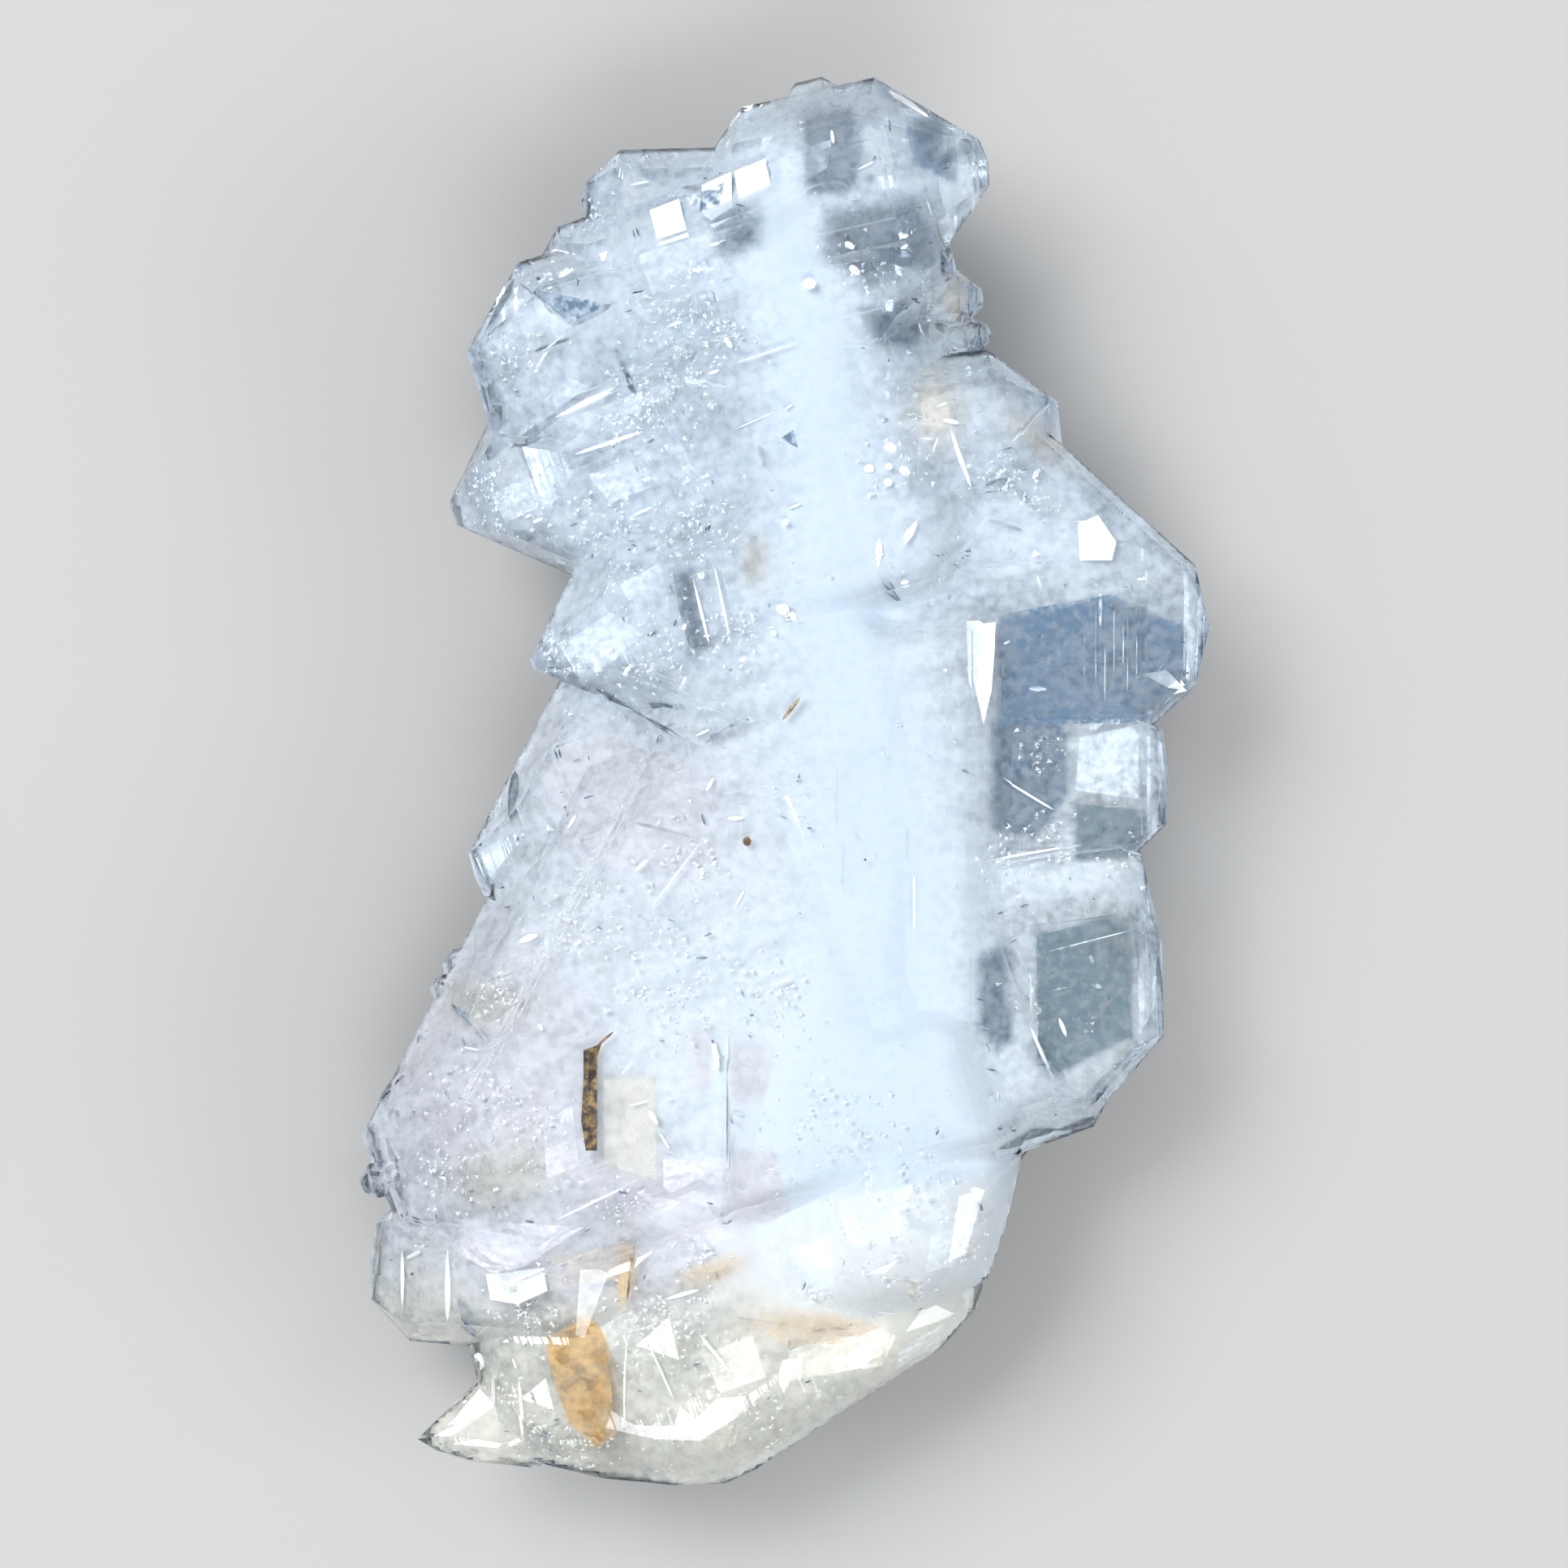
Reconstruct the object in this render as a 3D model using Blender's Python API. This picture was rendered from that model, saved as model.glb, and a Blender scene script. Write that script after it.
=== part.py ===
"""Faden quartz cluster, at real size, lying on its back.

Flat quartz crystals have grown side by side across a white thread that runs up the middle of the stone.
Each crystal lies across the thread: it has two tips, one to the left and one to the right, and its broad
prism face looks up. The lower end is broken off, with rounded, shell-like fractures.

Every crystal is cut from a block by its own crystal faces, at quartz's true angles. All are then joined
into one closed solid. +X is to the right, +Y runs up the thread, and +Z is up from the table. The origin
is on the table, under the middle of the cluster. Sizes here are in millimetres, and the finished mesh is
in metres.
"""

import math
import random
from dataclasses import dataclass

import bmesh
import bpy
from mathutils import Matrix
from mathutils import Vector

# Scale and names
MM = 0.001
NODE_NAME = "faden_quartz_cluster"

# Quartz angles: six prism walls 60 degrees apart, and tip faces with normals 51.8 degrees off the long axis
WALL_STEP = 60
TIP_FACE_ANGLE = math.radians(51.8)
TIP_ALONG = math.cos(TIP_FACE_ANGLE)
TIP_ACROSS = math.sin(TIP_FACE_ANGLE)
SIDE = math.sin(math.radians(60))

# The block that each crystal is cut from, in millimetres, and the lean of most crystals, in degrees
BLOCK_SIZE = 90.0
LEAN = 20.0

# Points closer than this, in millimetres, become one, and faces flatter than this angle become one
MERGE_GAP = 0.004
FLAT_ANGLE = math.radians(0.08)

# Growth steps: thin terraces, parallel to the crystal that carries them. Each is a height above the broad
# face, a depth sunk into it, a gap to the tip faces, and a share of the broad face that it covers
DRAW_SEED = 11
STEP_HEIGHT = (0.07, 0.24)
STEP_SUNK = 0.6
STEP_INSET = (0.08, 0.5)
STEP_SHARE = (0.2, 0.94)
BACK_STEP_EVERY = 3

# Broken lumps: how far the rim waves up and down, how far in from the rim the facet corners lie, and how
# near to the full thickness they stand
RIM_WAVE = 0.3
FACET_SPREAD = (0.02, 0.92)
FACET_RELIEF = (0.93, 1.0)


@dataclass(frozen=True)
class Tip:
    """One pointed end of a crystal.

    reach is how far it goes along the long axis, above and below are the ends of its short chisel edge, and
    snub is the angle, in degrees, that leans that edge back.
    """

    reach: float
    above: float = 0.3
    below: float = 0.3
    snub: float = 0.0


@dataclass(frozen=True)
class Crystal:
    """One flat, doubly pointed crystal, with its long axis across the thread.

    turn swings the long axis anticlockwise on the table, tilt lifts the right tip, and roll leans the broad
    face up the thread. up and down are the half widths to the thin side edges; front and back are the
    distances to the broad faces.
    """

    at: tuple
    right: Tip
    left: Tip
    up: float
    down: float
    front: float
    back: float
    turn: float = LEAN
    tilt: float = 0.0
    roll: float = 0.0
    walls: tuple = ()
    steps: int = 0


@dataclass(frozen=True)
class Lump:
    """One rounded, broken lump over an outline: the height of its rim, its thickness and its facets."""

    outline: tuple
    middle: float
    front: float
    back: float
    facets: int


def clear_scene():
    """Removes every object of the scene."""
    for obj in list(bpy.data.objects):
        bpy.data.objects.remove(obj, do_unlink=True)


def wall_planes(crystal):
    """The six prism walls as (normal, distance), from the broad front face upwards and round."""
    distances = crystal.walls or (
        crystal.front,
        crystal.up * SIDE,
        crystal.up * SIDE,
        crystal.back,
        crystal.down * SIDE,
        crystal.down * SIDE,
    )
    planes = []
    for index, distance in enumerate(distances):
        angle = math.radians(index * WALL_STEP)
        planes.append((Vector((0, math.sin(angle), math.cos(angle))), distance))
    return planes


def tip_planes(tip, side):
    """The six tip faces of one end, and the two narrow ones that lean its chisel edge back."""
    offsets = (0, tip.above, tip.above, 0, tip.below, tip.below)
    planes = []
    for index, offset in enumerate(offsets):
        angle = math.radians(index * WALL_STEP)
        normal = Vector((side * TIP_ALONG, TIP_ACROSS * math.sin(angle), TIP_ACROSS * math.cos(angle)))
        planes.append((normal, TIP_ALONG * tip.reach + TIP_ACROSS * SIDE * offset))
    if tip.snub:
        lean = math.radians(tip.snub)
        middle = (tip.above - tip.below) / 2
        for across in (1, -1):
            normal = Vector((side * math.cos(lean), across * math.sin(lean), 0))
            planes.append((normal, math.cos(lean) * tip.reach + across * math.sin(lean) * middle))
    return planes


def cut_block(planes):
    """A block cut by planes given as (outward normal, distance from the origin), as a bmesh."""
    bm = bmesh.new()
    bmesh.ops.create_cube(bm, size=BLOCK_SIZE)
    for normal, distance in planes:
        cut = bmesh.ops.bisect_plane(
            bm,
            geom=bm.verts[:] + bm.edges[:] + bm.faces[:],
            plane_co=normal * distance,
            plane_no=normal,
            clear_outer=True,
        )
        rim = [item for item in cut["geom_cut"] if isinstance(item, bmesh.types.BMEdge)]
        if rim:
            bmesh.ops.edgenet_fill(bm, edges=rim)
    bmesh.ops.recalc_face_normals(bm, faces=bm.faces[:])
    return bm


def placing(at, turn=0.0, tilt=0.0, roll=0.0):
    """The matrix that rolls, tilts and turns a crystal, and then puts it in its place."""
    rolled = Matrix.Rotation(math.radians(-roll), 4, "X")
    tilted = Matrix.Rotation(math.radians(-tilt), 4, "Y")
    turned = Matrix.Rotation(math.radians(turn), 4, "Z")
    return Matrix.Translation(at) @ turned @ tilted @ rolled


def add_object(name, bm, collection):
    """Turns a bmesh into a mesh object of flat triangles in the given collection."""
    bmesh.ops.triangulate(bm, faces=bm.faces[:])
    mesh = bpy.data.meshes.new(name)
    bm.to_mesh(mesh)
    bm.free()
    obj = bpy.data.objects.new(name, mesh)
    collection.objects.link(obj)
    return obj


def add_crystal(name, crystal, collection):
    """Cuts one crystal and puts it in its place."""
    planes = wall_planes(crystal)
    planes += tip_planes(crystal.right, 1)
    planes += tip_planes(crystal.left, -1)
    bm = cut_block(planes)
    bm.transform(placing(crystal.at, crystal.turn, crystal.tilt, crystal.roll))
    return add_object(name, bm, collection)


def terrace_planes(crystal, face, draw):
    """The faces of one thin terrace on a broad face, parallel to the crystal's own and inside its edges."""
    depth = crystal.front if face > 0 else crystal.back
    top = depth + draw.uniform(*STEP_HEIGHT)
    inset = draw.uniform(*STEP_INSET)
    planes = [(Vector((0, 0, 1)), top), (Vector((0, 0, -1)), STEP_SUNK - depth)]
    for side, tip in ((1, crystal.right), (-1, crystal.left)):
        end = draw.uniform(*STEP_SHARE) * (tip.reach - depth * TIP_ACROSS / TIP_ALONG)
        planes.append((Vector((side * TIP_ALONG, 0, TIP_ACROSS)), TIP_ALONG * end + TIP_ACROSS * top))
        for across, edge in ((1, tip.above), (-1, tip.below)):
            normal = Vector((side * TIP_ALONG, across * TIP_ACROSS * SIDE, TIP_ACROSS / 2))
            planes.append((normal, TIP_ALONG * tip.reach + TIP_ACROSS * SIDE * edge - inset))
    for across, half_width in ((1, crystal.up), (-1, crystal.down)):
        end = draw.uniform(*STEP_SHARE) * (half_width - depth / 2 / SIDE)
        planes.append((Vector((0, across * SIDE, 0.5)), SIDE * end + top / 2))
    return [(Vector((normal.x, normal.y, face * normal.z)), distance) for normal, distance in planes]


def growth_steps(name, crystal, collection, draw):
    """Adds broad, thin terraces to the front and back faces of a crystal."""
    place = placing(crystal.at, crystal.turn, crystal.tilt, crystal.roll)
    for number in range(crystal.steps):
        face = -1 if (number + 1) % BACK_STEP_EVERY == 0 else 1
        bm = cut_block(terrace_planes(crystal, face, draw))
        bm.transform(place)
        add_object(f"{name}_terrace_{number}", bm, collection)


# The crystals on the right side, from the top of the thread down
RIGHT_CRYSTALS = {
    "top_right": Crystal(
        at=(1.2, 25.9, 8.2), turn=12, tilt=14, up=4.4, down=4.6, front=2.8, back=3.2,
        right=Tip(8.1, 0.55, 1.2, 12), left=Tip(6.0, 1.0, 1.0), steps=2,
    ),
    "upper_knob": Crystal(
        at=(6.4, 21.3, 7.4), turn=2, tilt=-6, up=1.4, down=1.2, front=0.9, back=2.6,
        right=Tip(2.4, 0.3, 0.4, 10), left=Tip(4.0),
    ),
    "lower_knob": Crystal(
        at=(7.2, 19.6, 6.8), turn=8, tilt=5, up=0.9, down=1.0, front=0.8, back=2.0,
        right=Tip(1.95, 0.2, 0.3, 15), left=Tip(3.0),
    ),
    "right_upper": Crystal(
        at=(6.6, 15.3, 8.0), turn=6, tilt=-5, up=3.5, down=3.6, front=1.5, back=4.0,
        right=Tip(5.6, 0.9, 1.5), left=Tip(6.5, 1.0, 1.0), steps=2,
    ),
    "right_shelf": Crystal(
        at=(6.9, 12.0, 7.7), turn=3, tilt=-2, up=3.2, down=3.4, front=1.55, back=3.0,
        right=Tip(6.6, 0.3, 1.4), left=Tip(6.0, 1.0, 1.0), steps=1,
    ),
    "right_great": Crystal(
        at=(7.6, 6.8, 7.6), turn=0, up=9.2, down=4.4, front=1.05, back=4.6,
        right=Tip(11.15, 2.2, 2.0, 14), left=Tip(9.0, 2.0, 2.0), steps=5,
    ),
    "right_middle": Crystal(
        at=(7.6, -0.2, 7.2), turn=2, tilt=1.5, up=3.5, down=3.3, front=0.95, back=4.6,
        right=Tip(9.35, 2.0, 1.8, 5), left=Tip(9.0, 1.5, 1.5), steps=3,
    ),
    "right_lower": Crystal(
        at=(6.6, -9.0, 7.7), turn=7, tilt=-1, up=5.6, down=6.5, front=0.95, back=5.4,
        right=Tip(10.2, 4.4, 3.0, 6), left=Tip(9.0, 3.0, 3.0), steps=4,
    ),
}

# The crystals on the left side, and the two great ones that carry the lower half
LEFT_CRYSTALS = {
    "lower_great": Crystal(
        at=(-1.3, -8.4, 5.8), turn=20, up=12.8, down=11.5, front=3.4, back=3.8,
        right=Tip(14.95, 3.0, 8.6), left=Tip(18.75, -0.8, 5.9), steps=6,
    ),
    "lower_front": Crystal(
        at=(-1.3, -8.4, 6.5), turn=20, tilt=-1, up=12.3, down=9.6, front=3.5, back=2.0,
        right=Tip(10.4, 3.0, 4.0), left=Tip(18.4, -3.2, 4.8), steps=9,
    ),
    "left_middle": Crystal(
        at=(-5.9, -1.2, 6.3), turn=20, tilt=-3, up=7.4, down=3.2, front=2.3, back=3.4,
        right=Tip(6.0, 1.0, 1.0), left=Tip(8.3, 0.85, 1.0, 6), steps=3,
    ),
    "left_point": Crystal(
        at=(-3.1, 6.6, 7.8), turn=21, tilt=-16, up=6.2, down=4.7, front=2.3, back=3.8,
        right=Tip(7.0, 1.0, 1.0), left=Tip(8.25, 1.75, -1.3), steps=5,
    ),
    "left_great": Crystal(
        at=(-6.3, 13.4, 7.6), turn=20, tilt=17, up=5.4, down=5.2, front=2.5, back=3.4,
        right=Tip(7.5, 1.5, 1.5), left=Tip(8.75, 1.95, -0.9), steps=5,
    ),
    "left_upper": Crystal(
        at=(-7.4, 19.4, 7.5), turn=17, tilt=-15, up=4.6, down=4.4, front=2.2, back=3.6,
        right=Tip(7.5, 1.5, 1.5), left=Tip(6.6, 1.5, 2.3), steps=4,
    ),
    "left_shoulder": Crystal(
        at=(-6.3, 22.6, 7.0), turn=20, tilt=4, up=3.05, down=2.4, front=2.2, back=3.2,
        right=Tip(6.0), left=Tip(4.45, 1.6, 1.0), steps=2,
    ),
    "top_left": Crystal(
        at=(-4.1, 25.5, 7.4), turn=1, tilt=6, up=2.45, down=2.4, front=1.6, back=3.2,
        right=Tip(6.0), left=Tip(4.85, 0.85, 0.4, 10), steps=1,
    ),
    "top_band": Crystal(
        at=(-0.2, 25.5, 8.4), turn=19.5, tilt=5, roll=30, up=2.0, down=5.0, front=2.8, back=2.5,
        walls=(2.8, 2.0, 2.5, 2.5, 5.0, 2.8), right=Tip(6.3, 1.2, 1.6), left=Tip(9.8, 1.4, 0.6),
    ),
    "top_behind": Crystal(
        at=(1.3, 27.2, 6.4), turn=14, tilt=-4, up=3.75, down=3.0, front=1.9, back=2.4,
        right=Tip(5.2, 0.2, 0.5), left=Tip(4.25, -0.2, 0.5), steps=1,
    ),
}

# The crystals that stand across the thread in the middle of the stone
MIDDLE_CRYSTALS = {
    "thread_1": Crystal(
        at=(1.4, 21.8, 8.0), turn=14, tilt=4, up=4.2, down=4.2, front=2.3, back=4.2,
        right=Tip(6.2, 1.2, 0.8), left=Tip(8.0, 1.0, 0.8), steps=4,
    ),
    "thread_2": Crystal(
        at=(0.7, 16.7, 7.9), turn=18, tilt=-3, up=5.0, down=4.6, front=2.3, back=4.3,
        right=Tip(7.3, 1.3, 1.2), left=Tip(8.5, 1.1, 0.9), steps=5,
    ),
    "thread_3": Crystal(
        at=(1.2, 10.9, 7.8), turn=16, tilt=2, up=5.0, down=4.7, front=2.4, back=4.6,
        right=Tip(8.4, 1.6, 1.4), left=Tip(9.0, 1.2, 0.9), steps=6,
    ),
    "centre_great": Crystal(
        at=(2.6, -1.6, 7.6), turn=0, up=9.5, down=10.0, front=2.1, back=5.0,
        right=Tip(8.3, 7.4, 8.0), left=Tip(9.0, 4.0, 4.0), steps=9,
    ),
    "thread_4": Crystal(
        at=(1.6, 3.4, 7.8), turn=11, tilt=-3, up=5.0, down=4.8, front=2.2, back=4.7,
        right=Tip(6.4, 1.4, 1.2), left=Tip(9.0, 1.0, 1.4), steps=4,
    ),
    "thread_5": Crystal(
        at=(3.4, -14.6, 7.4), turn=15, tilt=2, up=5.0, down=4.2, front=2.8, back=4.6,
        right=Tip(8.6, 1.2, 1.2), left=Tip(10.0, 1.2, 1.4), steps=5,
    ),
}

# The smaller crystals at the lower left, by the broken foot
LOW_CRYSTALS = {
    "low_left": Crystal(
        at=(-12.3, -22.2, 6.2), turn=-5, tilt=6, roll=-8, up=3.0, down=2.85, front=2.4, back=2.8,
        right=Tip(6.6, 0.4, 0.4), left=Tip(6.1, 2.2, 1.0, 6), steps=1,
    ),
    "low_ledge": Crystal(
        at=(-8.5, -19.2, 7.0), turn=22, tilt=-6, roll=-12, up=2.4, down=2.2, front=2.5, back=3.2,
        right=Tip(7.0, 0.4, 0.4), left=Tip(7.4, 0.3, 0.6), steps=1,
    ),
    "low_middle": Crystal(
        at=(-4.6, -14.0, 7.6), turn=-14, tilt=1.5, up=5.2, down=4.6, front=2.8, back=3.0,
        right=Tip(7.0, 1.6, 1.6), left=Tip(7.1, 3.6, 3.2), steps=3,
    ),
}

# The crystals on the back, which the cluster rests on
BACK_CRYSTALS = {
    "back_left": Crystal(
        at=(-9.2, -11.8, 3.4), turn=24, up=4.6, down=4.4, front=2.4, back=3.43,
        right=Tip(8.0, 1.5, 1.0), left=Tip(8.2, 1.2, 1.6), steps=2,
    ),
    "back_low": Crystal(
        at=(4.4, -14.6, 3.6), turn=10, up=4.8, down=4.2, front=2.4, back=3.64,
        right=Tip(8.0, 1.4, 1.0), left=Tip(8.0, 1.0, 1.4), steps=2,
    ),
    "back_right": Crystal(
        at=(9.2, 5.4, 3.3), turn=5, up=4.6, down=4.4, front=3.6, back=3.32,
        right=Tip(7.2, 1.6, 1.2), left=Tip(7.6, 1.2, 1.4), steps=2,
    ),
    "back_top": Crystal(
        at=(-3.4, 16.4, 3.7), turn=16, up=4.6, down=4.4, front=2.6, back=3.73,
        right=Tip(8.0, 1.2, 1.2), left=Tip(8.2, 1.0, 1.2), steps=2,
    ),
    "back_middle": Crystal(
        at=(-1.0, 1.6, 4.6), turn=29, tilt=5, up=5.4, down=4.8, front=2.6, back=3.3,
        right=Tip(8.2, 1.2, 1.2), left=Tip(7.4, 1.4, 1.0), steps=3,
    ),
    "back_high": Crystal(
        at=(1.4, 23.6, 5.2), turn=7, tilt=-7, up=3.6, down=3.4, front=2.6, back=3.0,
        right=Tip(5.6, 1.2, 1.0), left=Tip(6.6, 1.0, 1.0), steps=2,
    ),
}


# The quartz around the thread, which joins all these crystals in the middle of the cluster
THREAD_QUARTZ = Crystal(
    at=(1.8, 1.5, 7.0), turn=90, up=4.6, down=4.6, front=1.6, back=3.6,
    right=Tip(23.0, 1.0, 1.0), left=Tip(22.0, 1.0, 1.0),
)

# Small points along the long sloping edge of the great lower crystal: x, y, z, turn and size of each
SERRATIONS = (
    (-15.05, -8.4, 5.8, 14, 1.2),
    (-15.6, -9.3, 6.15, 19, 0.9),
    (-17.2, -13.4, 6.5, 24, 1.0),
    (-17.9, -14.3, 5.8, 14, 1.1),
    (-18.7, -17.8, 6.15, 19, 1.2),
    (-16.3, -11.4, 6.5, 24, 0.8),
)

# The broken foot: outlines seen from above
FOOT_OUTLINE = (
    (-12.9, -22.0), (-13.9, -25.0), (-13.0, -28.6), (-11.0, -30.0), (-8.0, -30.7), (-4.8, -31.0),
    (-2.6, -30.95), (-1.2, -30.3), (0.3, -29.0), (2.6, -27.7), (4.6, -26.4), (6.9, -25.0),
    (8.5, -23.2), (9.0, -21.4), (7.0, -17.0), (0.0, -15.0), (-8.0, -16.5),
)
BULGE_OUTLINE = (
    (-1.4, -19.4), (-1.2, -21.4), (-0.2, -23.0), (2.0, -23.8), (4.2, -24.1), (6.2, -23.5),
    (9.0, -21.8), (9.8, -19.5), (10.35, -17.2), (10.5, -16.2), (7.0, -13.5), (2.0, -13.5),
)
SPLINTER_OUTLINE = (
    (-14.0, -27.0), (-15.5, -28.3), (-16.2, -29.0), (-15.4, -29.5), (-13.9, -30.0), (-11.0, -30.3),
    (-8.5, -29.0), (-10.0, -26.0), (-12.6, -25.6),
)
FOOT_LUMPS = {
    "foot_lump": Lump(FOOT_OUTLINE, middle=6.0, front=3.2, back=3.9, facets=150),
    "foot_bulge": Lump(BULGE_OUTLINE, middle=7.1, front=3.7, back=3.6, facets=110),
    "foot_splinter": Lump(SPLINTER_OUTLINE, middle=5.4, front=1.1, back=1.6, facets=40),
}

# The shell-shaped hollows of the foot are cut by balls: x, y, z and radius of each
HOLLOWS = (
    (2.9, -26.8, 13.4, 5.6),
    (-15.9, -26.0, 5.4, 1.25),
    (-6.0, -26.4, 15.1, 6.9),
    (-1.2, -31.4, 13.8, 6.0),
    (-11.2, -28.4, 12.2, 5.2),
    (7.4, -27.6, -0.2, 5.4),
    (-4.0, -28.4, -4.2, 7.6),
)


def add_serrations(collection):
    """Adds the small points, each as a crystal of its own with sizes in proportion."""
    for number, (x, y, z, turn, size) in enumerate(SERRATIONS):
        point = Crystal(
            at=(x + size, y + 0.3 * size, z),
            right=Tip(2.4 * size),
            left=Tip(size, 0.25 * size, 0.2 * size),
            up=0.7 * size,
            down=0.6 * size,
            front=0.8 * size,
            back=0.9 * size,
            turn=turn,
        )
        add_crystal(f"serration_{number}", point, collection)


def add_lump(name, lump, collection, draw):
    """Adds a closed lump, thickest in the middle, with uneven facets like those of broken glass."""
    count = len(lump.outline)
    centre = Vector((sum(p[0] for p in lump.outline) / count, sum(p[1] for p in lump.outline) / count))
    bm = bmesh.new()
    for x, y in lump.outline:
        bm.verts.new((x, y, lump.middle + draw.uniform(-RIM_WAVE, RIM_WAVE)))
    for number in range(lump.facets):
        corner = draw.randrange(count)
        start = Vector(lump.outline[corner])
        end = Vector(lump.outline[(corner + 1) % count])
        rim = start.lerp(end, draw.random())
        share = math.sqrt(draw.uniform(*FACET_SPREAD))
        spot = centre + (rim - centre) * share
        height = math.sqrt(1 - share * share) * draw.uniform(*FACET_RELIEF)
        thickness = lump.front if number % 2 else -lump.back
        bm.verts.new((spot.x, spot.y, lump.middle + thickness * height))
    hull = bmesh.ops.convex_hull(bm, input=bm.verts[:])
    inside = [item for item in hull["geom_interior"] if isinstance(item, bmesh.types.BMVert)]
    bmesh.ops.delete(bm, geom=inside, context="VERTS")
    bmesh.ops.recalc_face_normals(bm, faces=bm.faces[:])
    return add_object(name, bm, collection)


def add_hollows(collection):
    """Adds the balls that cut the shell-shaped hollows of the broken foot."""
    for number, (x, y, z, radius) in enumerate(HOLLOWS):
        bm = bmesh.new()
        bmesh.ops.create_icosphere(bm, subdivisions=3, radius=radius)
        bm.transform(Matrix.Translation((x, y, z)))
        cutter = add_object(f"hollow_{number}", bm, collection)
        cutter.display_type = "WIRE"
        cutter.hide_render = True


def tidy_faces(bm):
    """Merges points closer than a few thousandths of a millimetre, and joins triangles that share a plane."""
    bmesh.ops.remove_doubles(bm, verts=bm.verts[:], dist=MERGE_GAP)
    bmesh.ops.dissolve_degenerate(bm, edges=bm.edges[:], dist=MERGE_GAP)
    bmesh.ops.dissolve_limit(bm, angle_limit=FLAT_ANGLE, verts=bm.verts[:], edges=bm.edges[:])
    bmesh.ops.triangulate(bm, faces=bm.faces[:])


def joined(base, collection, operation):
    """Bakes a Boolean of the base with every object of a collection into the base's mesh."""
    modifier = base.modifiers.new("grown together", "BOOLEAN")
    modifier.operand_type = "COLLECTION"
    modifier.collection = collection
    modifier.operation = operation
    modifier.solver = "EXACT"
    graph = bpy.context.evaluated_depsgraph_get()
    baked = bpy.data.meshes.new_from_object(base.evaluated_get(graph))
    base.modifiers.clear()
    base.data = baked
    base.data.name = base.name
    bm = bmesh.new()
    bm.from_mesh(base.data)
    tidy_faces(bm)
    bm.to_mesh(base.data)
    bm.free()


def flatten_rest(obj):
    """Cuts the lowest crystal faces level with the table, where the cluster rests."""
    bm = bmesh.new()
    bm.from_mesh(obj.data)
    cut = bmesh.ops.bisect_plane(
        bm,
        geom=bm.verts[:] + bm.edges[:] + bm.faces[:],
        plane_co=(0, 0, 0),
        plane_no=(0, 0, -1),
        clear_outer=True,
    )
    rim = [item for item in cut["geom_cut"] if isinstance(item, bmesh.types.BMEdge)]
    bmesh.ops.edgenet_fill(bm, edges=rim)
    tidy_faces(bm)
    bmesh.ops.recalc_face_normals(bm, faces=bm.faces[:])
    bm.to_mesh(obj.data)
    bm.free()


def centre_over_origin(obj):
    """Moves the mesh sideways until the origin is under the middle of its outline."""
    spans = [[vertex.co[axis] for vertex in obj.data.vertices] for axis in range(2)]
    middle = [(min(span) + max(span)) / 2 for span in spans]
    obj.data.transform(Matrix.Translation((-middle[0], -middle[1], 0)))


def quartz_material():
    """Clear, faintly blue-white quartz."""
    material = bpy.data.materials.new("quartz")
    material.use_nodes = True
    shader = material.node_tree.nodes["Principled BSDF"]
    shader.inputs["Base Color"].default_value = (0.80, 0.86, 0.92, 1)
    shader.inputs["Roughness"].default_value = 0.05
    shader.inputs["Metallic"].default_value = 0.0
    shader.inputs["IOR"].default_value = 1.544
    shader.inputs["Transmission Weight"].default_value = 0.85
    return material


def remove_collection(collection):
    """Removes a collection and all its objects."""
    for obj in list(collection.objects):
        bpy.data.objects.remove(obj, do_unlink=True)
    bpy.data.collections.remove(collection)


def build():
    """Makes the whole cluster."""
    clear_scene()
    scene = bpy.context.scene
    grown = bpy.data.collections.new("grown together")
    cutters = bpy.data.collections.new("broken away")
    scene.collection.children.link(grown)
    scene.collection.children.link(cutters)
    cluster = add_crystal(NODE_NAME, THREAD_QUARTZ, scene.collection)
    draw = random.Random(DRAW_SEED)
    for group in (RIGHT_CRYSTALS, LEFT_CRYSTALS, MIDDLE_CRYSTALS, LOW_CRYSTALS, BACK_CRYSTALS):
        for name, crystal in group.items():
            add_crystal(name, crystal, grown)
            growth_steps(name, crystal, grown, draw)
    add_serrations(grown)
    for name, lump in FOOT_LUMPS.items():
        add_lump(name, lump, grown, draw)
    add_hollows(cutters)
    joined(cluster, grown, "UNION")
    joined(cluster, cutters, "DIFFERENCE")
    remove_collection(grown)
    remove_collection(cutters)
    flatten_rest(cluster)
    centre_over_origin(cluster)
    cluster.data.transform(Matrix.Scale(MM, 4))
    cluster.data.materials.clear()
    cluster.data.materials.append(quartz_material())


build()
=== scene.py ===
"""Looks of the faden quartz cluster: clear crystals on a white thread, seen from straight above.

The clear crystals are one closed body with bevelled edges. Inside it are the white thread and its milky
veils, sparkling flecks, healed cracks, a brown crack and an iron stain. Sizes are in millimetres in the
fields, and every finished mesh is in metres, in the same frame as the solid model.
"""

import logging
import math
from dataclasses import dataclass, field
from enum import Enum

import bmesh
import bpy
import numpy as np
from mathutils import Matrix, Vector
from mathutils.bvhtree import BVHTree


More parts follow.
